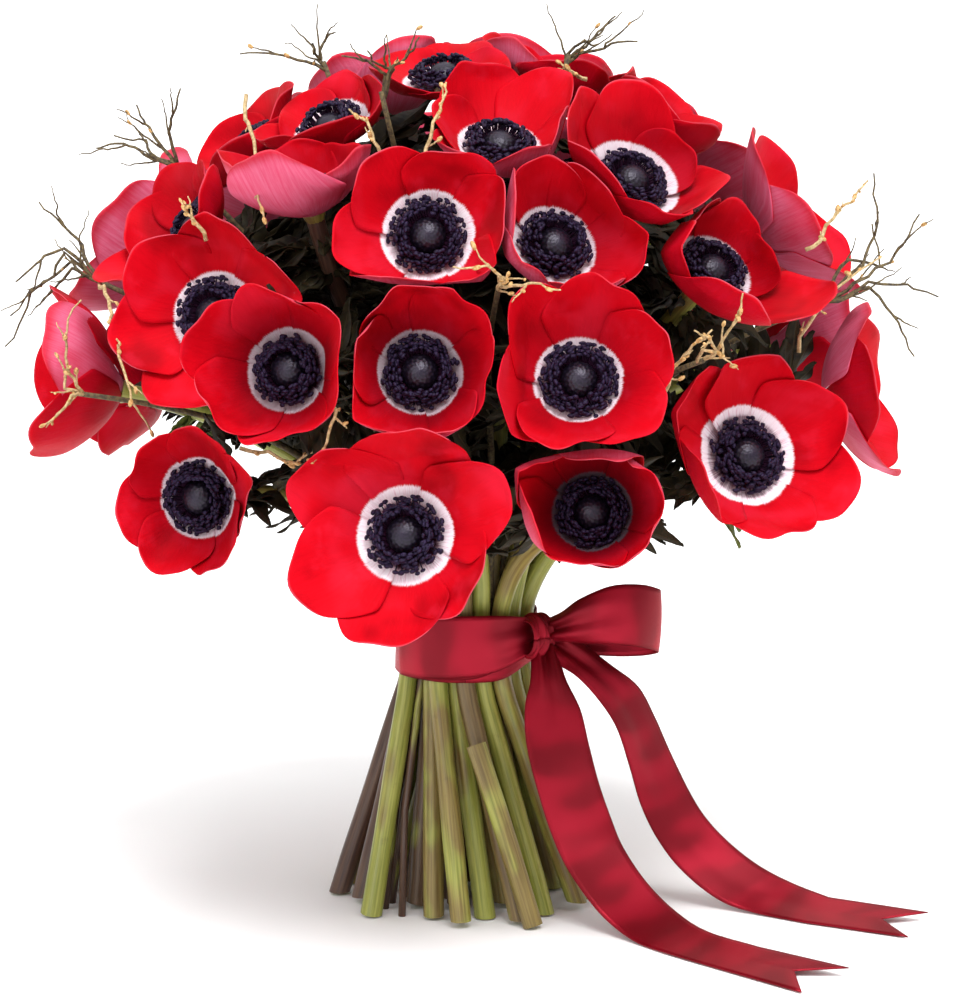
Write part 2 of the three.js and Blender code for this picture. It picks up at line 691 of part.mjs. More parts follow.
function twigSolid(twig) {
  const top = HEAD_CENTRE.clone().addScaledVector(twig.out, STALK_TOP);
  const bendEnd = HEAD_CENTRE.clone().addScaledVector(twig.out, HEAD_RADIUS - 14);
  const curve = upperCurve(twig, bendEnd, twig.out);
  const foot = curve.getPoint(0).setZ(TIE_Z + CORE_HEIGHT / 2 + SEAT_GAP);
  const stalk = [foot, ...[0, 0.35, 0.7].map((share) => curve.getPoint(share)), bendEnd, top];
  const pieces = [limb(stalk, STALK_RADII, TWIG_SIDES, UP)];
  for (const shoot of twig.shoots) {
    const root = top.clone().addScaledVector(twig.out, -4);
    const points = [root, ...shoot.map(([x, y, z]) => new THREE.Vector3(x, y, z))];
    const bud = points[2].clone().lerp(points[3], 0.7);
    points.splice(3, 0, bud);
    pieces.push(limb(points, SHOOT_RADII, TWIG_SIDES));
  }
  return joined(pieces);
}

// ---------------------------------------------------------------- ribbon

const RIBBON_THICKNESS = 0.6;
const RIBBON_HALF = 12.5;
const WRAP_SIDES = 20;
const WRAP_GAP = 0.7;
const WRAP_INNER = BUNDLE_RADIUS + STEM_RADIUS + WRAP_GAP;
const KNOT = { azimuth: 62, out: WRAP_INNER + 6, z: 111, radius: 6.4, half: 8.5, sides: 7 };

// The left loop lies flattened round the wrap: azimuth, distance off the wrap, height, half the width.
const LEFT_LOOP = [
  [60, 5.5, 111.5, 4.5],
  [42, 4.6, 111, 8.5],
  [20, 3.6, 109.5, 11.5],
  [-5, 3, 108.5, 12.5],
  [-32, 2.8, 107.5, 12.5],
  [-52, 2.8, 107, 12.5],
  [-60, 2.2, 107, 12.5],
  [-54, 1.5, 107, 12.5],
  [-25, 1.4, 107, 12.5],
  [8, 1.5, 107.5, 12],
  [36, 2.2, 109, 8.5],
  [56, 4, 111, 4],
];
// The other strips: points on the middle line, each with the vector from it to one edge. A tail ends
// in the two tips of a swallowtail, with the notch between them.
const RIGHT_LOOP = [
  [[31, -16.5, 112], [0, 0, 4.5]],
  [[37.4, -21, 114.5], [0, 0, 6]],
  [[46, -26, 118], [-1, 0, 9]],
  [[57, -28.5, 121], [0, 1, 11.5]],
  [[68, -27, 120.5], [0.5, 1, 12.4]],
  [[75.5, -20, 117.5], [0.8, 0, 12.4]],
  [[76.5, -12, 114.5], [0, 0, 12.4]],
  [[70, -7, 112], [0, 0, 12.2]],
  [[58, -6, 110.5], [0, 0, 11]],
  [[46, -9, 110], [0, 0, 8.5]],
  [[37, -13, 110.5], [0, 0, 5.5]],
  [[31, -15, 111], [0, 0, 4]],
];
const FRONT_TAIL = [
  [[31, -19, 107], [5, 0, 0]],
  [[32.7, -28, 95.2], [7, 1, 0]],
  [[34.4, -32, 84.3], [11, 1.5, -1]],
  [[36.2, -36, 71], [12.4, 1.5, -0.5]],
  [[40.1, -40, 55.4], [12.3, 2, 0.5]],
  [[45.4, -43, 39.5], [12, 3, 2]],
  [[51.3, -46, 26.5], [11, 5, 3.2]],
  [[61.8, -53, 12.8], [9.5, 7, 4.2]],
  [[73.6, -65, 4.9], [8.5, 8.3, 3.5]],
  [[86, -80, 2.6], [7.8, 9.5, 1.6]],
  [[105, -100, 2.4], [7.2, 10, 1.5]],
];
const FRONT_TAIL_END = [[125, -138, 0.9], [124, -116, 2.4], [144.5, -117, 3.8]];
const BACK_TAIL = [
  [[32, -16, 109], [3, 0, 4]],
  [[39.8, -20, 105.1], [5, 2, 4]],
  [[51.1, -22, 97.4], [7.4, 6, 0.6]],
  [[60.9, -22, 88], [8, 7, 1.2]],
  [[67.8, -21, 76], [7.8, 8, 0.5]],
  [[73.4, -20, 61], [8.3, 8, 1.2]],
  [[80, -19, 43.8], [10, 6, 1.2]],
  [[87, -19, 31.1], [10, 5, 3]],
  [[96.7, -19, 19.6], [10, 5, 4.2]],
  [[109.7, -20.5, 9.6], [8.8, 6.5, 5]],
  [[123.1, -26, 5], [8, 8, 3.8]],
  [[140, -36, 2.8], [5.5, 10.8, 2]],
];
const BACK_TAIL_END = [[172.5, -67, 0.9], [164, -48, 2.6], [183, -43, 3.8]];

// A flat strip with its two edges either side of its middle line, and perhaps a cut end.
function strip(middle, end) {
  const points = [];
  const rows = middle.map(([at, across]) => {
    const centre = new THREE.Vector3(...at);
    const half = new THREE.Vector3(...across);
    return [points.push(centre.clone().sub(half)) - 1, points.push(centre.clone().add(half)) - 1];
  });
  if (end) rows.push(end.map((corner) => points.push(new THREE.Vector3(...corner)) - 1));
  const faces = rows.slice(1).flatMap((row, i) => stitch(rows[i], row));
  return welded(sheet(points, faces, RIBBON_THICKNESS));
}

function aroundTie([azimuth, off, z, half]) {
  const at = direction(azimuth, 0).multiplyScalar(WRAP_INNER + off).setZ(z);
  return [at.toArray(), [0, 0, half]];
}

function wrapSolid() {
  const inner = WRAP_INNER;
  const outer = WRAP_INNER + RIBBON_THICKNESS;
  const low = TIE_Z - RIBBON_HALF;
  const high = TIE_Z + RIBBON_HALF;
  const section = [[inner, low], [outer, low], [outer, high], [inner, high], [inner, low]];
  return solidOf(turned(section, WRAP_SIDES));
}

function knotSolid() {
  const { azimuth, out, z, radius, half, sides } = KNOT;
  const shoulder = radius * 0.75;
  const profileOfKnot = [[0, -half], [shoulder, -half * 0.7], [radius, 0], [shoulder, half * 0.7], [0, half]];
  const shape = turned(profileOfKnot, sides);
  const at = direction(azimuth, 0).multiplyScalar(out);
  return solidOf(shape.translate(at.x, at.y, z));
}

function ribbonSolid() {
  const strips = [strip(LEFT_LOOP.map(aroundTie)), strip(RIGHT_LOOP)];
  strips.push(strip(FRONT_TAIL, FRONT_TAIL_END), strip(BACK_TAIL, BACK_TAIL_END));
  return joined([wrapSolid(), knotSolid(), ...strips]);
}

// ---------------------------------------------------------------- assembly

const bouquet = new THREE.Group();

function addPart(name, solid, colour, roughness) {
  const material = new THREE.MeshStandardMaterial({ color: colour, roughness, metalness: 0 });
  const mesh = new THREE.Mesh(geometryOf(solid), material);
  mesh.name = name;
  bouquet.add(mesh);
}

for (const bloom of BLOOMS) {
  addPart(`bloom_${bloom.name}`, bloomSolid(bloom), 0xc81428, 0.5);
  if (bloom.ownEye) addPart(`eye_${bloom.name}`, eyeSolid(bloom), 0x2a1c33, 0.6);
}
addPart('stems', stemsSolid(), 0x7f8a4c, 0.6);
addPart('ribbon', ribbonSolid(), 0xa81c30, 0.35);
for (const twig of TWIGS) {
  addPart(twig.name, twigSolid(twig), 0x8a6f4d, 0.8);
}

export default bouquet;
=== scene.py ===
"""The looks of a hand-tied bouquet of red anemones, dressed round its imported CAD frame.

The tables are in millimetres and degrees, as in the CAD, and Shape.build() turns them into metres.
Azimuth 0 faces the viewer along -Y and grows towards +X. Latitude 90 points straight up.
"""
import math

import bpy
import numpy as np
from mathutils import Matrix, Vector

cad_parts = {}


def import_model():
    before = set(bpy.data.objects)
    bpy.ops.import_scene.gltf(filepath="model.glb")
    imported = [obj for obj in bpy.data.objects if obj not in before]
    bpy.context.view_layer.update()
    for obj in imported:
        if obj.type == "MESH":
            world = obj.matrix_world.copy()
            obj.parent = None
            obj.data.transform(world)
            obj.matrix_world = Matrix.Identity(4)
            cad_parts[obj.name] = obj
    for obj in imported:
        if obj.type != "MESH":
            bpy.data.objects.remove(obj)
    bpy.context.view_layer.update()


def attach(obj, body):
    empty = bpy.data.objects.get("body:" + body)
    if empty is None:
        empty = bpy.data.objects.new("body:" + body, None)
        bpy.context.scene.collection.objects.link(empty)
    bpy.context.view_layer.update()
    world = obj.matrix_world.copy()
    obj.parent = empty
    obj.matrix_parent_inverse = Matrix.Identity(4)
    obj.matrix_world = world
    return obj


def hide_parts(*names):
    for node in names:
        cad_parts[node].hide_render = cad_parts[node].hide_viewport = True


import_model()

MM = 0.001
TAU = 2 * math.pi
RIBBON_WIDTH = 25.0
RIBBON_HALF = RIBBON_WIDTH / 2

# ---- the bouquet's layout, as in the CAD

HEAD_CENTRE = np.array([0.0, 0.0, 183.0])
HEAD_RADIUS = 138.0
SEAT_GAP = 0.3

STEM_RADIUS = 3.8
STALK_RADIUS = 1.5
STALK_SPACE = 0.35
PACK_PASSES = 900
PACK_PULL = 0.985
PACK_REACH = 23.6
PACK_START = 24.0
PACK_LOWEST = 95
PACK_CROWDING = 0.8
TIE_Z = 106.0
TIE_HALF = 13.0
FLOOR_SPREAD = 2.2
FLOOR_TWIST = 27.0
HEAD_TWIST = 18.0
CURVE_REACH = 0.36
CURVE_LEAN = 0.6

PETAL_OVERLAP = 1.72
FOOT_OUT = 4.6
FOOT_UP = -1.3
PETAL_NECK = 0.13
NECK_SHARE = 0.94
MOST_SHARE = 1.62
OPENINGS = {"open": (11, 30), "bowl": (15, 46), "cup": (22, 66)}
# The fine petals curve more from foot to tip than the CAD's, into deeper bowls
FINE_OPENINGS = {"open": (8, 50), "bowl": (12, 64), "cup": (18, 84)}
# The room that these blooms take from their neighbours, as a radius
OWN_SPREADS = {"07": 48.0, "10": 37.5, "11": 44.0}
EYE_WIDTHS = {"open": 1.0, "bowl": 0.96, "cup": 0.9}
RECEPTACLE_DEPTH = 3.6

WALL_REACH = 118.0
WALL_HEIGHT = 10.0
LEAN_PER_LIFT = 3.2
MOST_LEAN = 48.0
TWIG_ROOM = 3.4
RAISE_STEPS = 24
RAISE_SMOOTHINGS = 8
RAISE_STEP = 4
RAISE_TESTED = np.array([0.6, 0.8, 1.0])
STEEPEST = 104
FOOT_RAISE = 0.35

# The fine petals are thinner than the CAD's, so they press closer to the walls between the blooms.
PETAL_THICKNESS = 0.32
WALL_GAP = 0.5
WALL_SOFTENS_AT = 4.0
WALL_PRESS = 8.0

# name, azimuth, latitude, lift, facing azimuth, facing latitude, petal length, kind, petals, spin, own eye;
# then for some the fine petals' opening, and their lengths as shares of the CAD's: to the right, up, to the
# left and down as seen from in front of the bloom. These also face a little otherwise than in the CAD.
BLOOMS = [
    ("01", -48, 27, 2, -19, 15, 41, "open", 6, 20, True, (10, 60), (1.08, 0.98, 0.84, 1.06)),
    ("02", -26, 19, 13, -17, 13, 41, "cup", 6, 40, True, (18, 90), (1.04, 1, 1, 1)),
    ("03", -73, 40, 0, -60, 30, 40, "bowl", 6, 15, False, (14, 72), (1.04, 0.62, 0.78, 1.12)),
    ("04", -87, 10, 2, -84, 12, 41, "bowl", 5, 33, False, (20, 72), (1.3, 1.1, 1.2, 0.94)),
    ("05", -45, -1, 0, -22, 3, 35, "bowl", 6, 12, True, (22, 74), (1.14, 0.85, 0.9, 0.88)),
    ("06", -8, -3, 12, -10, 16, 44, "open", 6, 25, True, (8, 48), (0.79, 1.36, 0.91, 0.91)),
    ("07", -7, 20, 4, 1, 18, 43, "bowl", 6, 50, True, (16, 90), (0.9, 0.95, 0.86, 0.9)),
    ("08", -7, 41, 8, -1, 18, 39, "open", 6, 8, True, (12, 64), (0.98, 0.92, 0.89, 1.18)),
    ("09", 17, 40, 3, 22, 32, 42, "bowl", 6, 36, True, (14, 82), (0.92, 0.8, 0.98, 0.95)),
    ("10", 17, 18, 10, 0, 26, 41, "open", 6, 15, True, (14, 72), (0.9, 1.05, 1.14, 0.95)),
    ("11", 19, -1, 5, -4, 20, 40, "cup", 6, 22, True, (26, 98), (1.06, 1.34, 1.14, 0.99)),
    ("12", 46, 5, 6, 23, 22, 43, "open", 6, 28, True, (12, 66), (0.93, 0.92, 1.12, 0.94)),
    ("13", 49, 33, 5, 32, 40, 43, "bowl", 6, 55, False, (14, 84), (0.6, 0.7, 1.24, 1.45)),
    ("14", 39, 49, 9, 30, 44, 41, "open", 6, 16, True, (12, 72), (0.64, 0.95, 1, 1.14)),
    ("15", 10, 60, 4, 12, 58, 40, "bowl", 6, 38, True, (12, 62), (0.98, 0.96, 0.64, 0.94)),
    ("16", -26, 83, 8, -16, 70, 38, "bowl", 5, 22, False, (8, 36), (0.58, 0.66, 0.72, 1)),
    ("17", -58, 65, 2, -38, 48, 37, "cup", 5, 22, False, (10, 54), (0.84, 0.6, 0.6, 0.9)),
    ("18", -103, 54, 4, -66, 42, 41, "bowl", 5, 48, False, (10, 56), (1, 0.6, 0.64, 1)),
    ("19", -38, 48, 1, -38, 70, 40, "bowl", 5, 2, False, (18, 84), (0.82, 0.66, 0.78, 1.34)),
    ("20", 112, 76, 4, 112, 74, 40, "bowl", 5, 35, False, (12, 46), (0.86, 0.86, 0.86, 0.86)),
    ("21", 84, 60, 2, 84, 58, 38, "cup", 5, 14, False, (18, 84), (0.86, 0.86, 0.86, 0.86)),
    ("22", 84, 36, 6, 84, 34, 42, "bowl", 5, 42, False),
    ("23", 84, 9, 7, 80, 11, 43, "cup", 5, 26, False, (14, 62), (0.92, 0.96, 0.92, 0.9)),
    ("24", 112, 14, 1, 112, 12, 43, "bowl", 5, 8, False),
    ("25", 139, 5, 5, 139, 8, 41, "open", 5, 31, False),
    ("26", 166, 13, 1, 166, 14, 43, "bowl", 5, 54, False),
    ("27", 192, 4, 6, 192, 6, 41, "open", 5, 17, False),
    ("28", 219, 12, 1, 219, 14, 43, "bowl", 5, 40, False),
    ("29", 246, 5, 5, 244, 12, 41, "open", 5, 3, False, (8, 50), (0.84, 0.84, 0.84, 0.62)),
    ("30", 122, 42, 4, 122, 42, 42, "open", 5, 29, False),
    ("31", 154, 39, 1, 154, 38, 43, "bowl", 5, 51, False),
    ("32", 187, 34, 6, 187, 34, 42, "open", 5, 12, False),
    ("33", 221, 39, 1, 221, 40, 43, "bowl", 5, 37, False),
    ("34", 252, 30, 5, 252, 29, 43, "bowl", 5, 24, False),
    ("35", 160, 65, 6, 160, 64, 40, "open", 5, 30, False),
    ("36", 215, 65, 2, 215, 66, 39, "bowl", 5, 22, False),
]

# name, azimuth, latitude, shoots as lists of points
TWIGS = [
    ("twigs_left", -88, 25, [
        [(-158, -5, 262), (-172, -3, 246), (-183, 0, 224)],
        [(-156, 4, 258), (-170, 8, 247), (-182, 10, 235)],
        [(-158, -8, 264), (-169, -10, 258), (-177, -10, 251)],
        [(-152, 4, 264), (-160, 5, 272), (-169, 5, 281)],
    ]),
    ("twigs_upper_left", -86, 45, [
        [(-126, -8, 301), (-134, -6, 305), (-145, -4, 303)],
        [(-122, -8, 308), (-126, -6, 314), (-129, -4, 320)],
        [(-116, -10, 310), (-113, -12, 319), (-111, -12, 327)],
    ]),
    ("twigs_low_left", -68, 11, [
        [(-151, -62, 222), (-152, -62, 236), (-146, -60, 250)],
        [(-150, -64, 214), (-156, -66, 206), (-162, -66, 202)],
    ]),
    ("twigs_top_left", -82, 70, [
        [(-57, -6, 341), (-55, -4, 345), (-51, 0, 348)],
        [(-62, -8, 337), (-75, -8, 340), (-88, -8, 340)],
    ]),
    ("twigs_upper_front", -25, 63, [
        [(-30, -66, 336), (-36, -70, 341), (-46, -72, 343)],
        [(-28, -66, 338), (-21, -70, 344), (-17, -74, 350)],
    ]),
    ("twigs_centre", 5, 30, [
        [(14, -150, 268), (8, -156, 274), (-4, -160, 274)],
        [(16, -150, 266), (24, -158, 268), (34, -162, 266)],
    ]),
    ("twigs_front_right", 34, 19, [
        [(91, -134, 240), (88, -142, 246), (82, -150, 250)],
        [(92, -134, 242), (98, -138, 252), (100, -138, 262)],
    ]),
    ("twigs_right", 70, 24, [
        [(152, -50, 262), (158, -44, 278), (157, -36, 296)],
        [(154, -52, 258), (166, -44, 268), (175, -34, 280)],
        [(154, -52, 256), (170, -44, 254), (183, -34, 248)],
        [(154, -52, 254), (166, -50, 240), (173, -44, 226)],
    ]),
    ("twigs_top_right", 62, 74, [
        [(43, -20, 342), (51, -18, 349), (58, -14, 355)],
        [(44, -20, 341), (56, -26, 345), (66, -30, 346)],
    ]),
    ("twigs_back", 204, 21, [
        [(-64, 144, 252), (-72, 152, 262), (-76, 156, 276)],
        [(-62, 148, 250), (-57, 160, 258), (-52, 170, 264)],
    ]),
]


def rad(degrees):
    return degrees * math.pi / 180


def around(out, turn, up):
    """Points about an axis along Z, so far out and up, each at its turn from X in radians."""
    return np.stack(np.broadcast_arrays(out * np.cos(turn), out * np.sin(turn), up), -1)


def unit(v):
    v = np.asarray(v, float)
    return v / np.linalg.norm(v, axis=-1, keepdims=True)


def safe_unit(v):
    """Unit vectors, or none where points coincide."""
    return v / np.maximum(np.linalg.norm(v, axis=-1, keepdims=True), 1e-9)


def direction(azimuth, latitude):
    azimuth, latitude = rad(azimuth), rad(latitude)
    level = math.cos(latitude)
    return np.array([math.sin(azimuth) * level, -math.cos(azimuth) * level, math.sin(latitude)])


class Member:
    """A bloom or a spray of twigs: what both need for the tie and for the walls between neighbours."""

    def __init__(self, name, azimuth, latitude, thickness):
        self.name, self.azimuth, self.latitude, self.thickness = name, azimuth, latitude, thickness
        self.out = direction(azimuth, latitude)


class Bloom(Member):
    def __init__(self, name, azimuth, latitude, lift, face_azimuth, face_latitude, petal, kind, petals, spin,
                 own_eye, opening=None, lengths=(1, 1, 1, 1)):
        super().__init__(name, azimuth, latitude, STEM_RADIUS)
        self.lift, self.petal, self.petals, self.spin, self.own_eye = lift, petal, petals, spin, own_eye
        self.lengths, self.eye_width = lengths, EYE_WIDTHS[kind]
        self.start, self.end = OPENINGS[kind]
        self.foot = HEAD_CENTRE + self.out * (HEAD_RADIUS + lift)
        self.axis = direction(face_azimuth, face_latitude)
        self.side = unit(np.cross([0, 0, 1], self.axis))
        self.over = np.cross(self.axis, self.side)
        self.basis = np.array([self.side, self.over, self.axis])
        self.spread = OWN_SPREADS.get(name, self.profile(petal, 1.0, 0.0)[0])
        self.start, self.end = opening or FINE_OPENINGS[kind]

    def profile(self, length, s, raised):
        """A petal's middle line: how far out and up it is, and its slope, at a share s of its length."""
        start = np.radians(self.start + FOOT_RAISE * raised)
        bend = np.radians(self.end + raised) - start
        slope = start + bend * s
        out = FOOT_OUT + length * (np.sin(slope) - np.sin(start)) / bend
        return out, FOOT_UP + length * (np.cos(start) - np.cos(slope)) / bend, slope

    def length_at(self, azimuth):
        right, up, left, down = self.lengths
        level, rise = math.cos(azimuth), math.sin(azimuth)
        sideways = right if level > 0 else left
        upright = up if rise > 0 else down
        return self.petal * (sideways * level ** 2 + upright * rise ** 2)

    def place(self, out, up, azimuth):
        """Points in the part's frame from ones about the bloom's axis."""
        return self.foot + around(out, azimuth, up) @ self.basis


blooms = [Bloom(*row) for row in BLOOMS]
twigs = [Member(name, azimuth, latitude, STALK_RADIUS + STALK_SPACE) for name, azimuth, latitude, _ in TWIGS]


def turned_towards(a, b, angle, share):
    return (math.sin((1 - share) * angle) * a + math.sin(share * angle) * b) / math.sin(angle)


def walls_of(bloom):
    """Between neighbours stands a wall: a point in it, and the direction back to the bloom's own side."""
    points, normals = [], []
    for other in [*blooms, *twigs]:
        if other is bloom:
            continue
        angle = math.acos(max(-1.0, min(1.0, float(bloom.out @ other.out))))
        distance = angle * HEAD_RADIUS
        if distance > WALL_REACH:
            continue
        is_bloom = isinstance(other, Bloom)
        other_lift = other.lift if is_bloom else bloom.lift
        share = bloom.spread / (bloom.spread + other.spread) if is_bloom else 1 - TWIG_ROOM / distance
        radial = turned_towards(bloom.out, other.out, angle, share)
        away = -unit(np.cross(radial, np.cross(other.out, bloom.out)))
        lean = rad(max(-MOST_LEAN, min(MOST_LEAN, LEAN_PER_LIFT * (bloom.lift - other_lift))))
        points.append(HEAD_CENTRE + radial * (HEAD_RADIUS + WALL_HEIGHT + (bloom.lift + other_lift) / 2))
        normals.append(away * math.cos(lean) + radial * math.sin(lean))
    return np.array(points), np.array(normals)


def raises_of(bloom):
    """Petals that would lean through a wall are raised, evenly from one azimuth to the next."""
    points, normals = bloom.walls
    raises = []
    for k in range(RAISE_STEPS):
        raised = 0
        while bloom.end + raised < STEEPEST:
            out, up, _ = bloom.profile(bloom.petal, RAISE_TESTED, raised)
            reached = bloom.place(out, up, TAU * k / RAISE_STEPS)
            through = ((points - reached[:, None]) * normals).sum(-1).max()
            if through <= WALL_PRESS:
                break
            raised += RAISE_STEP
        raises.append(raised)
    raises = np.array(raises, float)
    raises = np.maximum(raises, np.maximum(np.roll(raises, 1), np.roll(raises, -1)))
    for _ in range(RAISE_SMOOTHINGS):
        raises = (2 * raises + np.roll(raises, 1) + np.roll(raises, -1)) / 4
    return raises


def raise_at(bloom, azimuth):
    place = (np.asarray(azimuth) / TAU % 1) * RAISE_STEPS
    return np.interp(place, np.arange(RAISE_STEPS + 1), np.append(bloom.raises, bloom.raises[0]))


def kept_inside(bloom, points):
    """Presses points back to their own side of every wall, softly at first and never past the gap."""
    slope = (WALL_SOFTENS_AT - WALL_GAP) / (WALL_SOFTENS_AT + WALL_PRESS)
    points = points.copy()
    for turn in range(3):
        for at, normal in zip(*bloom.walls):
            distance = (points - at) @ normal
            if turn == 0:
                eased = np.maximum(WALL_GAP + slope * (distance + WALL_PRESS), WALL_GAP)
                push = np.where(distance < WALL_SOFTENS_AT, eased - distance, 0)
            else:
                push = np.maximum(WALL_GAP - distance, 0)
            points += push[..., None] * normal
    return points


for bloom in blooms:
    bloom.walls = walls_of(bloom)
    bloom.raises = raises_of(bloom)


def pack_tie(members):
    """Where each stem and stalk passes the tie: spread by the place of its bloom, then pushed apart."""
    for member in members:
        azimuth = rad(member.azimuth + HEAD_TWIST)
        out = PACK_START * ((90 - member.latitude) / PACK_LOWEST) ** PACK_CROWDING
        member.tie = np.array([out * math.sin(azimuth), -out * math.cos(azimuth)])
    for turn in range(PACK_PASSES):
        if turn < PACK_PASSES / 2:
            for member in members:
                member.tie *= PACK_PULL
        for i, one in enumerate(members):
            for two in members[i + 1:]:
                push_apart(one, two)
        for member in members:
            length = math.hypot(*member.tie)
            if length > PACK_REACH:
                member.tie *= PACK_REACH / length


def push_apart(one, two):
    across, along = two.tie[0] - one.tie[0], two.tie[1] - one.tie[1]
    least = one.thickness + two.thickness
    distance = math.hypot(across, along)
    if distance < least:
        push = (least - distance) / (2 * distance)
        one.tie[0] -= across * push
        one.tie[1] -= along * push
        two.tie[0] += across * push
        two.tie[1] += along * push


pack_tie([*blooms, *twigs])


def lower_point(member, z):
    down = max(0.0, 1 - z / (TIE_Z - TIE_HALF))
    turn = rad(FLOOR_TWIST * down)
    x, y = member.tie * (1 + (FLOOR_SPREAD - 1) * down)
    return np.array([x * math.cos(turn) - y * math.sin(turn), x * math.sin(turn) + y * math.cos(turn), z])


def upper_curve(member, end, end_direction, shares):
    """Above the tie a stem bends out to its bloom and meets it along the bloom's axis."""
    start = np.array([*member.tie, TIE_Z + TIE_HALF])
    rise = np.linalg.norm(end - start) * CURVE_REACH
    first = start + np.array([*(member.tie * CURVE_LEAN), rise])
    last = end - end_direction * rise
    t = np.asarray(shares, float)[:, None]
    return (1 - t) ** 3 * start + 3 * t * (1 - t) ** 2 * first + 3 * t * t * (1 - t) * last + t ** 3 * end


# ---- meshes

def placed(name, data):
    """A new object in the scene, for a mesh, a lamp or a camera."""
    thing = bpy.data.objects.new(name, data)
    bpy.context.scene.collection.objects.link(thing)
    return thing


def marks(*numbers):
    """The numbers that points carry for their material, side by side."""
    return np.stack(np.broadcast_arrays(*numbers), -1)


class Shape:
    """Gathers vertices, faces, a material number for each face and up to four numbers for each vertex."""

    def __init__(self):
        self.points, self.faces, self.slots, self.data, self.count = [], [], [], [], 0

    def add(self, points, faces, data, slot=0):
        points = np.asarray(points, float).reshape(-1, 3)
        self.points.append(points)
        data = np.asarray(data, float)
        data = np.concatenate([data, np.zeros((*data.shape[:-1], 4 - data.shape[-1]))], -1)
        self.data.append(np.broadcast_to(data, (len(points), 4)))
        for block in faces:
            block = np.asarray(block)
            self.faces.append(block + self.count)
            self.slots.append(np.full(len(block), slot))
        self.count += len(points)

    def build(self, name, materials):
        mesh = bpy.data.meshes.new(name)
        points = np.concatenate(self.points) * MM
        corners = np.concatenate([block.ravel() for block in self.faces])
        sizes = np.concatenate([np.full(len(block), block.shape[1]) for block in self.faces])
        mesh.vertices.add(len(points))
        mesh.vertices.foreach_set("co", points.ravel())
        mesh.loops.add(len(corners))
        mesh.loops.foreach_set("vertex_index", corners)
        mesh.polygons.add(len(sizes))
        mesh.polygons.foreach_set("loop_start", np.concatenate([[0], np.cumsum(sizes)[:-1]]))
        mesh.polygons.foreach_set("material_index", np.concatenate(self.slots))
        mesh.polygons.foreach_set("use_smooth", np.full(len(sizes), True))
        attribute = mesh.attributes.new("place", "FLOAT_COLOR", "POINT")
        attribute.data.foreach_set("color", np.concatenate(self.data).ravel())
        for material in materials:
            mesh.materials.append(material)
        mesh.update(calc_edges=True)
        mesh.validate()
        piece = placed(name, mesh)
        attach(piece, "root")
        return piece


def grid_faces(rows, columns, closed=False):
    """Quads over a grid of points; closed joins each row's last point to its first."""
    i, j = np.meshgrid(np.arange(rows - 1), np.arange(columns if closed else columns - 1), indexing="ij")
    here, after = i * columns + j, i * columns + (j + 1) % columns
    return np.stack([here, after, after + columns, here + columns], -1).reshape(-1, 4)


def add_sheet(shape, grid, thickness, data, top_slot=0, under_slot=0):
    """A thin sheet round a grid of points, its two faces half the thickness off it."""
    rows, columns = grid.shape[:2]
    count = rows * columns
    normal = safe_unit(np.cross(np.gradient(grid, axis=1), np.gradient(grid, axis=0)))
    faces = grid_faces(rows, columns)
    data = data.reshape(count, -1)
    shape.add(grid + normal * thickness / 2, [faces], data, top_slot)
    shape.add(grid - normal * thickness / 2, [faces[:, ::-1]], data, under_slot)
    ids = np.arange(count).reshape(rows, columns) + shape.count - 2 * count
    rim = np.concatenate([ids[0, :], ids[1:, -1], ids[-1, -2::-1], ids[-2:0:-1, 0]])
    after = np.roll(rim, -1)
    shape.faces.append(np.stack([rim, rim + count, after + count, after], -1))
    shape.slots.append(np.full(len(rim), top_slot))


def smoothed(points, times=2):
    """Rounds the corners of a line of points and keeps its ends."""
    points = np.asarray(points, float)
    for _ in range(times):
        near, far = points[:-1] * 0.75 + points[1:] * 0.25, points[:-1] * 0.25 + points[1:] * 0.75
        middle = np.stack([near, far], 1).reshape(-1, points.shape[1])
        points = np.concatenate([points[:1], middle[1:-1], points[-1:]])
    return points


def add_tube(shape, points, radii, sides, data, slot=0, ends=True, first=None):
    """A round limb along a line of points, each with its radius and three numbers.

    The fourth number is the way round, from 1 down to 0 and back.
    """
    points = np.asarray(points, float)
    radii = np.broadcast_to(np.asarray(radii, float), len(points))
    along = unit(np.gradient(points, axis=0))
    if first is not None:
        along[0] = first
    across = np.empty_like(points)
    guess = np.array([1.0, 0.13, 0.07])
    for i, direct in enumerate(along):
        guess = unit(guess - direct * (guess @ direct))
        across[i] = guess
    other = np.cross(along, across)
    angle = TAU * np.arange(sides) / sides
    ring = across[:, None] * np.cos(angle)[:, None] + other[:, None] * np.sin(angle)[:, None]
    grid = points[:, None] + ring * radii[:, None, None]
    data = np.broadcast_to(np.asarray(data, float), points.shape)
    values = marks(*data.T[:, :, None], np.abs(angle / math.pi - 1))
    faces = [grid_faces(len(points), sides, closed=True)]
    if ends:
        faces.append(np.arange(sides)[None, ::-1])
        faces.append(np.arange(sides)[None] + (len(points) - 1) * sides)
    shape.add(grid, faces, values.reshape(-1, 4), slot)


def ball(rings, sides):
    """The points and faces of a unit ball about the origin, its poles along Z."""
    polar = math.pi * np.arange(1, rings) / rings
    turn = TAU * np.arange(sides) / sides
    points = around(np.sin(polar)[:, None], turn, np.cos(polar)[:, None]).reshape(-1, 3)
    points = np.concatenate([points, [[0, 0, 1], [0, 0, -1]]])
    top, bottom = len(points) - 2, len(points) - 1
    here, after = np.arange(sides), (np.arange(sides) + 1) % sides
    low = (rings - 2) * sides
    caps = np.concatenate([
        np.stack([here, after, np.full(sides, top)], -1),
        np.stack([low + after, low + here, np.full(sides, bottom)], -1),
    ])
    return points, [grid_faces(rings - 1, sides, closed=True)[:, ::-1], caps]


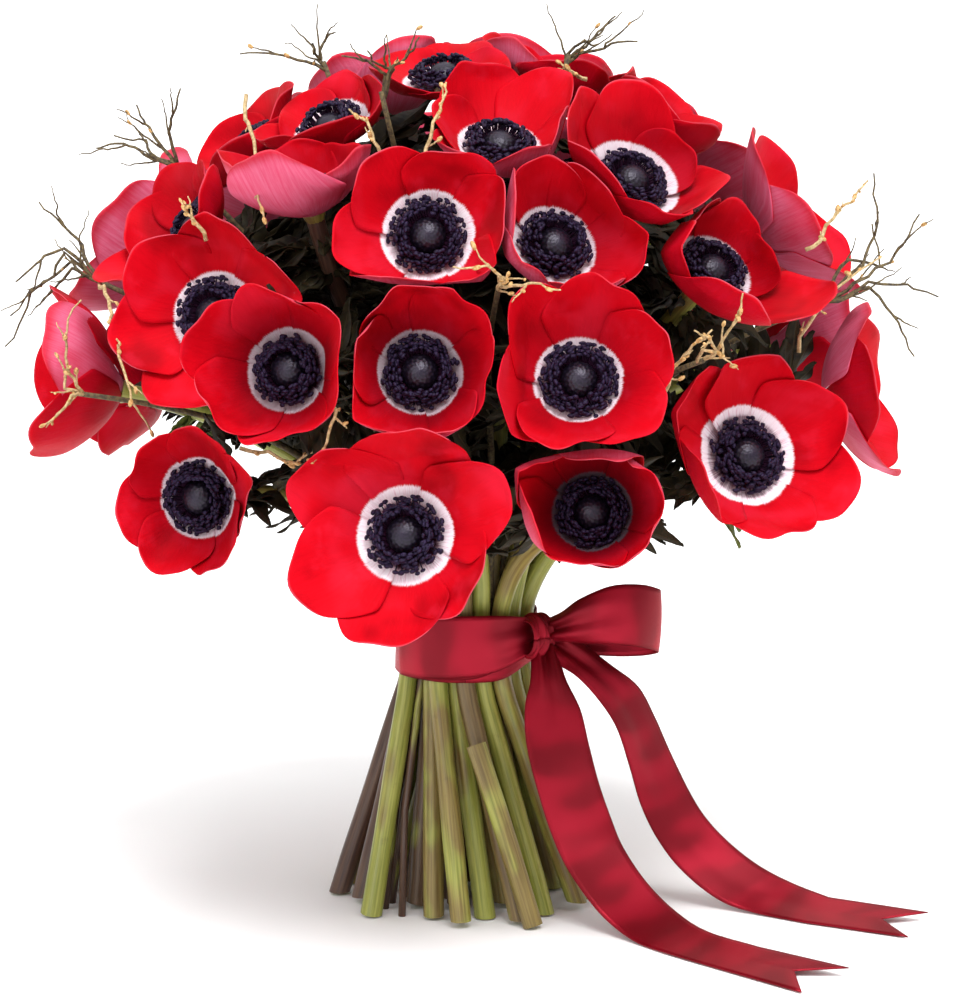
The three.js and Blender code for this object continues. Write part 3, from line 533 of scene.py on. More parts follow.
def copies(shape, points, faces, matrices, places, data, slot=0):
    """Copies of one small form: matrices are (n, 3, 3) with rows as axes, places are (n, 3)."""
    points = np.asarray(points, float)
    count, size = len(places), len(points)
    moved = np.einsum("pj,njk->npk", points, matrices) + places[:, None]
    shifts = (np.arange(count) * size)[:, None, None]
    blocks = [(block[None] + shifts).reshape(-1, block.shape[1]) for block in faces]
    values = np.repeat(np.asarray(data, float), size, 0)
    shape.add(moved.reshape(-1, 3), blocks, values, slot)


def frames_along(directions):
    """Right-handed frames whose third axis lies along each direction."""
    third = unit(directions)
    helper = np.where(np.abs(third[:, 2:]) < 0.9, [[0, 0, 1.0]], [[1.0, 0, 0]])
    first = unit(np.cross(helper, third))
    return np.stack([first, np.cross(third, first), third], 1)


# ---- materials

def linear(red, green, blue):
    """A colour given as it looks on screen, 0 to 255, in linear light."""
    share = np.array([red, green, blue]) / 255
    light = np.where(share <= 0.04045, share / 12.92, ((share + 0.055) / 1.055) ** 2.4)
    return (*light.tolist(), 1.0)


class Value:
    """A number that a node gives. What is worked out with it becomes math nodes."""

    def __init__(self, nodes, socket):
        self.nodes, self.socket = nodes, socket

    def __add__(self, other):
        return self.nodes.math("ADD", self, other)

    def __sub__(self, other):
        return self.nodes.math("SUBTRACT", self, other)

    def __mul__(self, other):
        return self.nodes.math("MULTIPLY", self, other)

    def __abs__(self):
        return self.nodes.math("ABSOLUTE", self, 0.0)


class Nodes:
    """Short calls for building one material."""

    def __init__(self, name):
        self.material = bpy.data.materials.new(name)
        self.material.use_nodes = True
        self.tree = self.material.node_tree
        self.tree.nodes.clear()

    def make(self, kind, inputs, **settings):
        """A new node, its inputs given by name or number."""
        node = self.tree.nodes.new(kind)
        for key, value in settings.items():
            setattr(node, key, value)
        for key, value in inputs.items():
            if isinstance(value, Value):
                self.tree.links.new(value.socket, node.inputs[key])
            else:
                node.inputs[key].default_value = value
        return node

    def value(self, kind, inputs, output=0, **settings):
        return Value(self, self.make(kind, inputs, **settings).outputs[output])

    def place(self):
        """The four numbers that Shape keeps for each point."""
        node = self.make("ShaderNodeAttribute", {}, attribute_name="place")
        split = self.make("ShaderNodeSeparateXYZ", {0: Value(self, node.outputs["Vector"])})
        return [Value(self, socket) for socket in (*split.outputs, node.outputs["Alpha"])]

    def math(self, operation, a, b):
        return self.value("ShaderNodeMath", {0: a, 1: b}, operation=operation)

    def step(self, value, low, high, to_low=0.0, to_high=1.0):
        inputs = dict(enumerate((value, low, high, to_low, to_high)))
        return self.value("ShaderNodeMapRange", inputs, interpolation_type="SMOOTHSTEP")

    def vector(self, x, y, z):
        return self.value("ShaderNodeCombineXYZ", {0: x, 1: y, 2: z})

    def noise(self, vector, scale, detail=3.0, rough=0.55):
        inputs = {"Vector": vector, "Scale": scale, "Detail": detail, "Roughness": rough}
        return self.value("ShaderNodeTexNoise", inputs)

    def object_point(self):
        return self.value("ShaderNodeTexCoord", {}, "Object")

    def mix(self, share, a, b):
        return self.value("ShaderNodeMix", {0: share, 6: a, 7: b}, 2, data_type="RGBA")

    def bump(self, height, distance, strength):
        return self.value("ShaderNodeBump", {"Distance": distance, "Strength": strength, "Height": height})

    def principled(self, **inputs):
        named = {key.replace("_", " "): value for key, value in inputs.items()}
        return self.value("ShaderNodeBsdfPrincipled", named)

    def finish(self, surface):
        self.make("ShaderNodeOutputMaterial", {"Surface": surface})
        return self.material


RED = linear(202, 6, 24)
# A pinkish red for painted highlights on the petals' insides
RED_LIT = linear(216, 38, 64)
RED_LOW = linear(190, 4, 19)
RED_DEEP = linear(138, 1, 10)
WINE = linear(86, 2, 14)
MARGIN = linear(212, 86, 104)
RING_WHITE = linear(250, 238, 246)
RING_PINK = linear(218, 156, 180)
RING_DUSK = linear(112, 60, 92)
NIGHT = linear(24, 12, 28)
ROSE = linear(220, 66, 102)
ROSE_PALE = linear(232, 126, 158)
ROSE_DEEP = linear(196, 16, 44)
# Where the dark heart gives way to the white ring and the ring to red, in mm from the bloom's axis
HEART_END = 11.2
RING_END = 16.9
# The height of a petal's wrinkles, in metres
WRINKLE = 0.0006


def petal_inside(name, shade):
    """place: mm out from the bloom's axis, across from -1 to 1, a number per petal, and mm to the tip.

    The deeper a bloom, the more painted shade its heart, ring and inner petal get, 0 to 1.
    """
    n = Nodes(name)
    way, across, which, edge = n.place()
    veins = n.noise(n.vector(across * 7.0, way * 0.02, which * 17.0), 2.6, 4.0, 0.6)
    soft = n.noise(n.object_point(), 38.0, 2.0)
    painted_highlight_patches = n.noise(n.object_point(), 90.0, 3.0)
    body = n.mix(n.step(veins, 0.25, 0.75, 0.4, 1.0), RED_LOW, RED)
    # Soft patches: darker red, and paler pinkish red as painted highlight
    body = n.mix(n.step(soft, 0.5, 0.72, 0.0, 0.7), body, RED_DEEP)
    body = n.mix(n.step(soft, 0.5, 0.3, 0.0, 0.4), body, RED_LIT)
    # More painted highlight: pinkish red at random places
    body = n.mix(n.step(painted_highlight_patches, 0.52, 0.7, 0.0, 0.25), body, RED_LIT)
    # Painted shade: the petal turns wine-dark towards the heart, the more so the deeper the bloom.
    body = n.mix(n.step(way, 14.0, 40.0, shade, 0.0), body, WINE)
    outer = n.step(way, 30.0, 40.0) * n.step(soft, 0.42, 0.6)
    body = n.mix(n.step(edge, 0.0, 0.8, 0.75, 0.0) * outer, body, MARGIN)
    feather = n.noise(n.vector(across * 20.0, way * 0.04, which), 3.0, 3.0, 0.6)
    reach = way + across * across * 0.4 + (feather - 0.5) * 3.4
    white = n.mix(n.step(feather, 0.3, 0.5), RING_PINK, RING_WHITE)
    white = n.mix(n.step(reach, HEART_END + 1, HEART_END + 3, 0.8, 0.0), white, RING_DUSK)
    # Painted shade over the white ring, dusky to near black as the bloom deepens.
    white = n.mix(shade * shade, white, n.mix(shade, RING_DUSK, NIGHT))
    colour = n.mix(n.step(reach, RING_END, RING_END + 1, 1.0, 0.0), body, white)
    colour = n.mix(n.step(reach, HEART_END, HEART_END + 2, 1.0, 0.0), colour, NIGHT)
    normal = n.bump(veins * 0.6 + soft, WRINKLE, 0.45)
    return petal_skin(n, colour, normal, n.mix(0.5, colour, RED), 0.14)


def petal_outside(name, pale, middle, deep):
    n = Nodes(name)
    way, across, which, edge = n.place()
    veins = n.noise(n.vector(across * 11.0, way * 0.02, which * 23.0), 3.0, 5.0, 0.65)
    flush = n.noise(n.object_point(), 30.0, 2.0)
    crumple = n.noise(n.object_point(), 420.0, 3.0)
    body = n.mix(n.step(veins, 0.25, 0.75, 0.2, 0.8), middle, pale)
    body = n.mix(n.step(flush, 0.42, 0.72, 0.0, 0.7), body, deep)
    body = n.mix(n.step(edge, 0.0, 7.0, 0.8, 0.0), body, RED_LOW)
    body = n.mix(n.step(edge, 0.0, 0.9, 0.6, 0.0), body, MARGIN)
    colour = n.mix(n.step(way, 5.0, 14.0, 0.65, 0.0), body, pale)
    normal = n.bump(veins * 0.5 + crumple * 0.5, WRINKLE, 0.6)
    return petal_skin(n, colour, normal, RED_DEEP, 0.1)


def petal_skin(n, colour, normal, through_colour, share):
    """Velvet, so its gloss is red too, and a little light comes through."""
    skin = n.principled(
        Base_Color=colour, Roughness=0.55, Normal=normal, Specular_IOR_Level=0.22,
        Specular_Tint=(1.0, 0.12, 0.18, 1.0),
    )
    through = n.value("ShaderNodeBsdfTranslucent", {"Color": through_colour, "Normal": normal})
    return n.finish(n.value("ShaderNodeMixShader", {0: share, 1: skin, 2: through}))


def boss_skin():
    """place: the height of the bumps, nothing, and a number per boss."""
    n = Nodes("boss")
    height = n.place()[0]
    grain = n.noise(n.object_point(), 900.0, 3.0)
    # Painted shade: darker low between the bumps, lighter on their tops
    colour = n.mix(n.step(height, 0.15, 0.85), linear(6, 3, 10), linear(27, 19, 36))
    colour = n.mix(n.step(grain, 0.4, 0.7) * 0.35, colour, linear(18, 8, 28))
    return n.finish(n.principled(
        Base_Color=colour, Roughness=0.4, Normal=n.bump(grain, 0.0002, 0.5), Specular_IOR_Level=0.42,
        Specular_Tint=(0.9, 0.85, 1.0, 1.0),
    ))


def stamen_skin():
    """place: the share of the way along the thread, the stamen's ring, and 1 on the head."""
    n = Nodes("stamens")
    way, ring, is_head, _ = n.place()
    thread = n.mix(n.step(way, 0.1, 0.9), linear(44, 12, 34), linear(18, 10, 26))
    grain = n.noise(n.object_point(), 1400.0, 2.0)
    head = n.mix(n.step(grain, 0.35, 0.7), linear(9, 5, 16), linear(34, 24, 52))
    colour = n.mix(ring * 0.2, n.mix(is_head, thread, head), linear(34, 18, 42))
    return n.finish(n.principled(
        Base_Color=colour, Roughness=0.55, Normal=n.bump(grain, 0.0002, 0.8), Specular_IOR_Level=0.3,
        Specular_Tint=(0.75, 0.65, 1.0, 1.0),
    ))


def stem_skin():
    """place: the height in mm, a number per stem, nothing, and the way round from 0 to 1."""
    n = Nodes("stem")
    height, which, _, around = n.place()
    own = which * 31.0
    fibre = n.noise(n.vector(around * 5.0, height * 0.012, own), 2.4, 3.0, 0.6)
    patch = n.noise(n.vector(own, height * 0.018, around * 0.5), 1.6, 2.0)
    low = n.noise(n.object_point(), 220.0, 3.0)
    streak = n.step(fibre, 0.2, 0.8)
    green = n.mix(streak, linear(112, 120, 40), linear(172, 172, 86))
    brown = n.mix(streak, linear(98, 78, 38), linear(150, 134, 72))
    purple = n.mix(streak, linear(58, 38, 34), linear(104, 78, 60))
    tinted = n.mix(n.step(which, 0.62, 0.8), brown, purple)
    colour = n.mix(n.step(patch + (which - 0.5) * 0.5, 0.42, 0.58), green, tinted)
    colour = n.mix(n.step(low, 0.6, 0.8) * 0.25, colour, linear(84, 66, 38))
    return n.finish(n.principled(
        Base_Color=colour, Roughness=n.step(fibre, 0.3, 0.7, 0.32, 0.46), Normal=n.bump(fibre, 0.0003, 0.4),
        Specular_IOR_Level=0.5,
    ))


def cut_skin():
    """The pale cut of a stem. place: the share of the way from its middle to its skin."""
    n = Nodes("stem_cut")
    out = n.place()[0]
    grain = n.noise(n.object_point(), 1500.0, 3.0)
    colour = n.mix(n.step(out, 0.0, 0.42), linear(90, 86, 46), linear(158, 152, 106))
    colour = n.mix(n.step(out, 0.78, 1.0), colour, linear(90, 84, 44))
    colour = n.mix(n.step(grain, 0.45, 0.7) * 0.4, colour, linear(118, 104, 62))
    return n.finish(n.principled(Base_Color=colour, Roughness=0.7, Normal=n.bump(grain, 0.0004, 1.0)))


def leaf_skin(name, dark, light, rib_colour):
    """place: the share of the way along the lobe, across from -1 to 1, and a number per leaf."""
    n = Nodes(name)
    along, across, which, _ = n.place()
    grain = n.noise(n.object_point(), 260.0, 4.0)
    rib = n.step(abs(across), 0.0, 0.16, 1.0, 0.0) * 0.6
    green = n.mix(n.step(grain, 0.3, 0.7), dark, light)
    aged = n.mix(n.step(along + which * 0.4, 0.75, 1.25), green, n.mix(0.5, dark, light))
    colour = n.mix(rib, aged, rib_colour)
    return n.finish(n.principled(
        Base_Color=colour, Roughness=0.6, Normal=n.bump(grain + rib, 0.0005, 0.8), Specular_IOR_Level=0.25,
    ))


def twig_skin():
    """place: the share of the way to the tip, a number per shoot (dark to 0.5, pale above), 1 on a bud."""
    n = Nodes("twig")
    _, which, bud, _ = n.place()
    grain = n.noise(n.object_point(), 700.0, 4.0)
    streak = n.step(grain, 0.3, 0.7)
    dark = n.mix(streak, linear(50, 38, 26), linear(108, 92, 56))
    pale = n.mix(streak, linear(146, 122, 76), linear(202, 174, 130))
    tip = n.mix(n.step(grain, 0.35, 0.65), linear(156, 116, 58), linear(212, 172, 116))
    colour = n.mix(bud, n.mix(n.step(which, 0.5, 0.6), dark, pale), tip)
    return n.finish(n.principled(Base_Color=colour, Roughness=0.72, Normal=n.bump(grain, 0.0004, 1.0)))


def satin():
    """place: the way along the ribbon in mm, the place across from -1 to 1, and a number per strip."""
    n = Nodes("satin")
    along, across, which, _ = n.place()
    threads = {"Vector": n.vector(along, across * RIBBON_HALF, 0.0), "Scale": 1.1, "Distortion": 0.6}
    weft = n.value("ShaderNodeTexWave", threads, "Fac", bands_direction="X", wave_profile="SIN")
    sheen = n.noise(n.vector(along * 0.05, across * 0.35, 0.0), 1.0, 1.0)
    selvedge = n.step(abs(across), 0.9, 0.97)
    # Painted dark reflections: near-black bands where the painted sheen is low, strongest on the wrap.
    painted_dark_bands = n.step(which, 0.3, 0.4, 0.95, 0.25) * n.step(sheen, 0.56, 0.42)
    # Painted sheen: the red paler and darker in broad bands along the ribbon.
    colour = n.mix(n.step(sheen, 0.35, 0.65), linear(116, 5, 20), linear(152, 14, 36))
    colour = n.mix(painted_dark_bands, colour, linear(78, 3, 13))
    colour = n.mix(weft * 0.1, colour, linear(170, 24, 46))
    colour = n.mix(selvedge * 0.45, colour, linear(112, 6, 20))
    return n.finish(n.principled(
        Base_Color=colour, Roughness=0.36, Normal=n.bump(weft * 0.4 + selvedge * 0.8, 0.00012, 0.6),
        Sheen_Weight=0.1, Sheen_Roughness=0.3, Sheen_Tint=(1.0, 0.2, 0.25, 1.0), Specular_IOR_Level=0.8,
        Specular_Tint=(1.0, 0.3, 0.36, 1.0), Metallic=0.5,
    ))


# For blooms whose petals end steeper than this, in degrees: the skin's name and the painted shade in it
PETAL_INSIDES = [(least, petal_inside(name, shade)) for least, name, shade in [
    (96, "petal_inside_dark", 0.97),
    (86, "petal_inside_cup", 0.72),
    (70, "petal_inside_bowl", 0.42),
    (0, "petal_inside", 0.1),
]]
PETAL_OUTSIDE = petal_outside("petal_outside", ROSE_PALE, ROSE, ROSE_DEEP)
PETAL_OUTSIDE_DEEP = petal_outside("petal_outside_deep", ROSE_DEEP, RED, RED_DEEP)
BOSS_SKIN = boss_skin()
STAMEN_SKIN = stamen_skin()
STEM_SKIN = stem_skin()
CUT_SKIN = cut_skin()
LEAF_SKIN = leaf_skin("leaf", linear(52, 66, 24), linear(108, 118, 54), linear(124, 132, 74))
# The collars' leaves: the leaf skin darkened nearly to black, painted shade for the gaps deep between the
# blooms
SHADED_LEAF_SKIN = leaf_skin("leaf_in_painted_shade", linear(18, 15, 7), linear(48, 42, 20), linear(62, 52, 28))
TWIG_SKIN = twig_skin()
SATIN = satin()

# ---- petals

# The rows of a petal's grid from foot to tip, and its columns from side to side
ROWS = np.linspace(0, 1, 26)[:, None]
COLUMNS = np.linspace(-1, 1, 21)[None, :]
# The row where a petal is widest, its width at the foot as a share of that, and where PETAL_OVERLAP counts
WIDEST = 0.5
FOOT_WIDTH = 0.14
WIDTH_AT = 0.62
# Petals that end this steep, in degrees, lie close together; ones less steep by LOOSENS_OVER are fully loose
CLOSED_AT = 84
LOOSENS_OVER = 36
LEAST_LOOSE = 0.2
# At each junction between two petals 1 puts the later one under, -1 over
JUNCTIONS = {
    5: [[1, -1, 1, 1, 1], [1, 1, -1, 1, -1]],
    6: [[1, 1, 1, -1, 1, 1], [1, 1, -1, 1, 1, -1], [1, 1, 1, 1, 1, 1]],
}
# Blooms of deep red outside, but for the petals numbered
DEEP_OUTSIDES = {
    "03": [1, 2], "04": [0], "12": [], "13": [], "14": [], "16": [], "17": [], "18": [], "20": [1], "21": [],
    "23": [1, 3], "24": [2, 4], "29": [],
}
# How much wider than the others' the white ring of a few blooms is, and where it starts to widen, in mm
WIDER_RINGS = {"06": 1.3, "08": 1.0, "12": 3.2, "14": 2.8}
RING_WIDENS_AT = 13


def petal_outline(phase, chance):
    """Where a petal's grid points lie: across from -1 to 1, and the share of the length from the foot."""
    y = np.clip((ROWS - WIDEST) / (1 - WIDEST), 0, 1)
    across = COLUMNS * np.sqrt(1 - y * y / 2)
    rounded = WIDEST + (1 - WIDEST) * y * np.sqrt(1 - COLUMNS * COLUMNS / 2)
    s = np.where(ROWS < WIDEST, ROWS + 0 * COLUMNS, rounded)
    notch = chance.uniform(-0.02, 0.06) * np.exp(-((across - chance.uniform(-0.3, 0.3)) / 0.22) ** 2)
    lobes = 0.018 * np.sin(2.6 * across + phase[0]) + 0.012 * np.sin(7 * across + phase[1])
    return across, s * (1 + (lobes - notch) * s ** 3)


def petal_relief(bloom, across, s, azimuth, side, phase, curled):
    """How far the points stand off an even cup, in mm. side is 1 where the petal lies over, -1 under."""
    over = (1 + side) / 2
    loose = min(1.0, max(LEAST_LOOSE, (CLOSED_AT - bloom.end) / LOOSENS_OVER))
    neck = np.clip(s / PETAL_NECK, 0, 1)
    off = neck * side * (0.3 + 0.4 * loose * s) + loose * (0.3 + 1.2 * over) * s * across ** 2
    waves = 0.9 * np.sin(4 * across + 4 * s + phase[2]) + 0.7 * np.sin(12 * s + phase[3])
    rim = 1.3 * np.sin(3.4 * across + phase[4]) + 0.6 * np.sin(9 * across + phase[5])
    off = off + loose * np.abs(across) ** 4 * over * waves
    off = off + s ** 6 * (rim - curled)
    broad = 2.4 * np.sin(2 * azimuth + 3 * s + bloom.spin)
    narrow = 1.5 * np.sin(5 * azimuth - 3 * s + 2.0 * bloom.spin)
    crease = -0.7 * np.exp(-(across / 0.12) ** 2) * s * (1 - s)
    return off + (broad + narrow) * s * s + crease


def petal_grid(bloom, k, chance):
    """The middle surface of one petal, and the data of its points."""
    shift, longer = chance.normal(0, 2.0), chance.uniform(1.0, 1.07)
    middle = rad(bloom.spin + shift) + TAU * k / bloom.petals
    length = bloom.length_at(middle) * longer
    sector = math.pi / bloom.petals
    patterns = JUNCTIONS[bloom.petals]
    junctions = patterns[bloom.spin % len(patterns)]
    left, right = -junctions[k - 1], junctions[k]
    phase = chance.uniform(0, TAU, 6)
    curled = chance.uniform(-0.6, 2.4)
    across, s = petal_outline(phase, chance)

    half_width = math.pi * bloom.profile(bloom.petal, WIDTH_AT, 0)[0] * PETAL_OVERLAP / bloom.petals
    width = FOOT_WIDTH + (1 - FOOT_WIDTH) * np.sin(np.pi / 2 * np.minimum(ROWS / WIDEST, 1))
    out = bloom.profile(length, ROWS, raise_at(bloom, middle))[0]
    half = np.minimum(half_width * width / out, MOST_SHARE * sector)
    neck = np.clip(s / PETAL_NECK, 0, 1)
    azimuth = middle + across * (NECK_SHARE * sector * (1 - neck) + half * neck)

    out, up, slope = bloom.profile(length, s, raise_at(bloom, azimuth))
    side = (left * (1 - across) + right * (1 + across)) / 2
    off = petal_relief(bloom, across, s, azimuth, side, phase, curled)
    points = kept_inside(bloom, bloom.place(out - off * np.sin(slope), up + off * np.cos(slope), azimuth))
    way = FOOT_OUT + length * s
    way = way - WIDER_RINGS.get(bloom.name, 0.0) * np.clip((way - RING_WIDENS_AT) / 3, 0, 1)
    return points, marks(way, across, chance.uniform(), (1 - ROWS) * length)


def petals_of(bloom, chance):
    """All petals of a bloom as one piece."""
    shape = Shape()
    for k in range(bloom.petals):
        grid, data = petal_grid(bloom, k, chance)
        deep = bloom.name in DEEP_OUTSIDES and k not in DEEP_OUTSIDES[bloom.name]
        add_sheet(shape, grid[:, ::-1], PETAL_THICKNESS, data[:, ::-1], 0, 2 if deep else 1)
    inside = next(skin for least, skin in PETAL_INSIDES if bloom.end > least)
    piece = shape.build(f"petals_{bloom.name}", [inside, PETAL_OUTSIDE, PETAL_OUTSIDE_DEEP])
    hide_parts(f"bloom_{bloom.name}")


# ---- the dark hearts

BOSS_RINGS = 28
BOSS_SIDES = 56
BOSS_FRUITS = 110
FRUIT_RADIUS = 0.95
BOSS_CENTRE = np.array([0, 0, 3.5])
BOSS_PROFILE = [(0.0, 9.6), (2.8, 9.2), (5.1, 7.9), (6.5, 6.0), (6.8, 4.3), (5.6, 2.2), (3.6, 0.35)]
STAMENS = 250
STAMEN_ROOT = (5.8, 3.2)
LEAST_REACH, REACH_GROWS = 8.0, 6.2
LEAST_TOP, TOP_GROWS = 4.2, 4.6
# How much higher stamens stand, in mm, for each share of the full width that an eye lacks
NARROW_RISES = 14
THREAD_RADIUS = 0.24
GOLDEN = math.pi * (3 - math.sqrt(5))


def boss_grid(chance):
    """A dome covered with small bumps in a spiral, as points about the bloom's axis."""
    profile = smoothed(BOSS_PROFILE, 3)
    steps = np.concatenate([[0], np.cumsum(np.linalg.norm(np.diff(profile, axis=0), axis=1))])
    wanted = np.linspace(0, steps[-1], BOSS_RINGS)
    out, up = np.interp(wanted, steps, profile[:, 0]), np.interp(wanted, steps, profile[:, 1])
    turn = TAU * np.arange(BOSS_SIDES) / BOSS_SIDES
    grid = around(out[:, None], turn, up[:, None])
    share = (np.arange(BOSS_FRUITS) + 0.5) / BOSS_FRUITS
    at = share * steps[-1] * 0.8
    fruit_out, fruit_up = np.interp(at, steps, profile[:, 0]), np.interp(at, steps, profile[:, 1])
    angle = GOLDEN * np.arange(BOSS_FRUITS) + chance.uniform(0, TAU)
    nearest = np.sqrt(((grid[:, :, None] - around(fruit_out, angle, fruit_up)) ** 2).sum(-1).min(-1))
    rise = np.clip(1 - nearest / FRUIT_RADIUS, 0, 1)
    grid = grid + unit(grid - BOSS_CENTRE) * (0.36 * np.sqrt(rise) - 0.2)[..., None]
    return grid, marks(rise, 0.0, chance.uniform())


def hearts_of(bloom, chance):
    """The boss and its stamens as one piece: inner stamens are short and high, outer ones long and low."""
    shape = Shape()
    grid, data = boss_grid(chance)
    points = bloom.foot + grid.reshape(-1, 3) @ bloom.basis
    shape.add(points, [grid_faces(BOSS_RINGS, BOSS_SIDES, closed=True)], data.reshape(-1, 3))
    turn = GOLDEN * np.arange(STAMENS) + chance.uniform(0, TAU)
    ring = chance.uniform(0, 1, STAMENS)
    reach = (LEAST_REACH + REACH_GROWS * ring + chance.uniform(-0.7, 0.9, STAMENS)) * bloom.eye_width
    top = LEAST_TOP + TOP_GROWS * (1 - ring) + chance.uniform(-0.6, 1.2, STAMENS)
    top = top + (1 - bloom.eye_width) * NARROW_RISES
    turn_out = turn + chance.uniform(-0.14, 0.14, STAMENS)
    roots = around(STAMEN_ROOT[0], turn, STAMEN_ROOT[1])
    tips = around(reach, turn_out, top)
    bows = (roots + tips) / 2 + around(0.8, turn, 0.9 - ring)
    for i, line in enumerate(np.stack([roots, bows, tips], 1)):
        line = smoothed(line, 1)
        values = marks(np.linspace(0, 1, len(line)), ring[i], 0.0)
        add_tube(shape, bloom.foot + line @ bloom.basis, THREAD_RADIUS, 4, values, 1, ends=False)
    lies = unit(around(1.0, turn_out + math.pi / 2, chance.uniform(-0.5, 0.9, STAMENS)))
    points, faces = ball(5, 6)
    frames = frames_along(lies @ bloom.basis)
    sizes = np.stack([chance.uniform(0.66, 0.92, STAMENS)] * 2 + [chance.uniform(1.0, 1.45, STAMENS)], -1)
    values = marks(1.0, ring, 1.0)
    copies(shape, points, faces, frames * sizes[:, :, None], bloom.foot + tips @ bloom.basis, values, 1)
    piece = shape.build(f"heart_{bloom.name}", [BOSS_SKIN, STAMEN_SKIN])
    if bloom.own_eye:
        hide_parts(f"eye_{bloom.name}")


for number, bloom in enumerate(blooms):
    petals_of(bloom, np.random.default_rng(100 + number))
    hearts_of(bloom, np.random.default_rng(200 + number))

# ---- stems and leaves

STEM_SIDES = 14
UPPER_SHARES = np.linspace(0, 1, 12)
STEM_WIDENS = 1.13
STEM_THINS = 0.92
UP = np.array([0, 0, 1.0])
# A stem with less of its foot cut away than this, in mm, is cut level
LEVEL_CUT = 1.2
# One stem in front is cut short below the ribbon: its number for the bark, its radius and its middle line
SHORT_STEM_MARK = 0.66
SHORT_STEM_RADIUS = STEM_RADIUS * 1.05
CUT_SHORT = [(4, -38.8, 71), (9.5, -42.8, 55), (14.5, -45.8, 40), (26.5, -52.4, 1)]


def stem_top(bloom):
    return bloom.foot - bloom.axis * (RECEPTACLE_DEPTH + SEAT_GAP)


def stems():
    """All stems with their cut ends and receptacles, and the twigs' stalks below the tie."""
    shape = Shape()
    for number, bloom in enumerate(blooms):
        chance = np.random.default_rng(300 + number)
        which = chance.uniform()
        cut = chance.uniform(0.0, 3.0)
        low = [lower_point(bloom, 0), lower_point(bloom, TIE_Z - TIE_HALF)]
        slope = (low[1] - low[0]) / low[1][2]
        start = low[0] + slope * cut
        below = [start + (low[1] - start) * share for share in np.linspace(0, 1, 5)[:-1]]
        line = np.array([*below, low[1], *upper_curve(bloom, stem_top(bloom), bloom.axis, UPPER_SHARES)])
        line = smoothed(line, 2)
        height = line[:, 2]
        heights = [0, TIE_Z - TIE_HALF, TIE_Z + TIE_HALF, 300]
        widen = np.interp(height, heights, [STEM_WIDENS, 1.0, 1.0, STEM_THINS])
        size = STEM_RADIUS * widen * (1 + 0.03 * np.sin(height * 0.11 + 7 * which))
        tilt = unit(np.array([chance.uniform(-0.2, 0.2), chance.uniform(-0.2, 0.2), 1.0]))
        tilt = tilt if cut > LEVEL_CUT else UP
        add_tube(shape, line, size, STEM_SIDES, marks(height, which, 0.0), ends=False, first=tilt)
        add_cut(shape, line[0], tilt, size[0], which)
        add_receptacle(shape, bloom, which)
    for number, twig in enumerate(twigs):
        which = 0.9 - 0.05 * number
        line = np.array([lower_point(twig, z) for z in (0.0, 40.0, TIE_Z - TIE_HALF, TIE_Z)])
        add_tube(shape, line, STALK_RADIUS, 8, marks(line[:, 2], which, 0.0), first=UP)
    line = smoothed(CUT_SHORT, 2)
    data = marks(line[:, 2], SHORT_STEM_MARK, 0.0)
    add_tube(shape, line, SHORT_STEM_RADIUS, STEM_SIDES, data, ends=False)
    for end, inner in [(line[0], line[1]), (line[-1], line[-2])]:
        add_cut(shape, end, unit(inner - end), SHORT_STEM_RADIUS, SHORT_STEM_MARK)
    piece = shape.build("stems_fine", [STEM_SKIN, CUT_SKIN])
    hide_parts("stems")


def add_cut(shape, centre, normal, radius, which):
    """The end of a stem, a little hollow; normal points into the stem."""
    across = unit(np.cross(normal, [0.3, 1.0, 0.1]))
    other = np.cross(normal, across)
    turn = TAU * np.arange(STEM_SIDES) / STEM_SIDES
    rings = np.array([0.02, 0.45, 0.8, 1.0])
    dip = np.array([-0.5, -0.25, -0.1, 0.0])
    ring = across * np.cos(turn)[:, None] + other * np.sin(turn)[:, None]
    grid = centre + ring[None] * (rings * radius)[:, None, None] - normal * dip[:, None, None]
    data = marks(rings[:, None], which, np.zeros(STEM_SIDES))
    shape.add(grid, [grid_faces(len(rings), STEM_SIDES, closed=True)], data.reshape(-1, 3), 1)


def add_receptacle(shape, bloom, which):
    """The short green cup under a bloom's petals."""
    profile = np.array([(3.3, -5.5), (4.2, -3.4), (4.7, -1.8), (4.3, -1.0), (0.2, -0.8)])
    line = bloom.foot + profile[:, 1:] * bloom.axis
    data = marks(line[:, 2], which * 0.5, 0.0)
    add_tube(shape, line, profile[:, 0], STEM_SIDES, data, ends=False, first=bloom.axis)


# The bloom whose stem bears the leaf, how far up, the leaf's azimuth and latitude, its turn about its length
LEAVES = [
    ("05", 0.8, -58, -38, 30),
    ("04", 0.8, -78, -34, 20),
    ("12", 0.8, 42, -36, -30),
    ("23", 0.8, 92, -32, 0),
    ("25", 0.8, 132, -36, 15),
    ("27", 0.8, 186, -38, -10),
    ("26", 0.76, 164, -34, 20),
    ("29", 0.8, 240, -36, 20),
    ("01", 0.8, -64, -12, 60),
]
# Each lobe: its root along the leaf, its turn in the leaf's plane, its length, half its width
LOBES = [(4, 0, 31, 4.6), (9, 30, 19, 3.6), (9, -30, 19, 3.6), (5, 52, 13, 2.8), (5, -52, 13, 2.8)]
LOBE_ROWS = 17
LOBE_COLUMNS = 3
LEAF_THICKNESS = 0.4


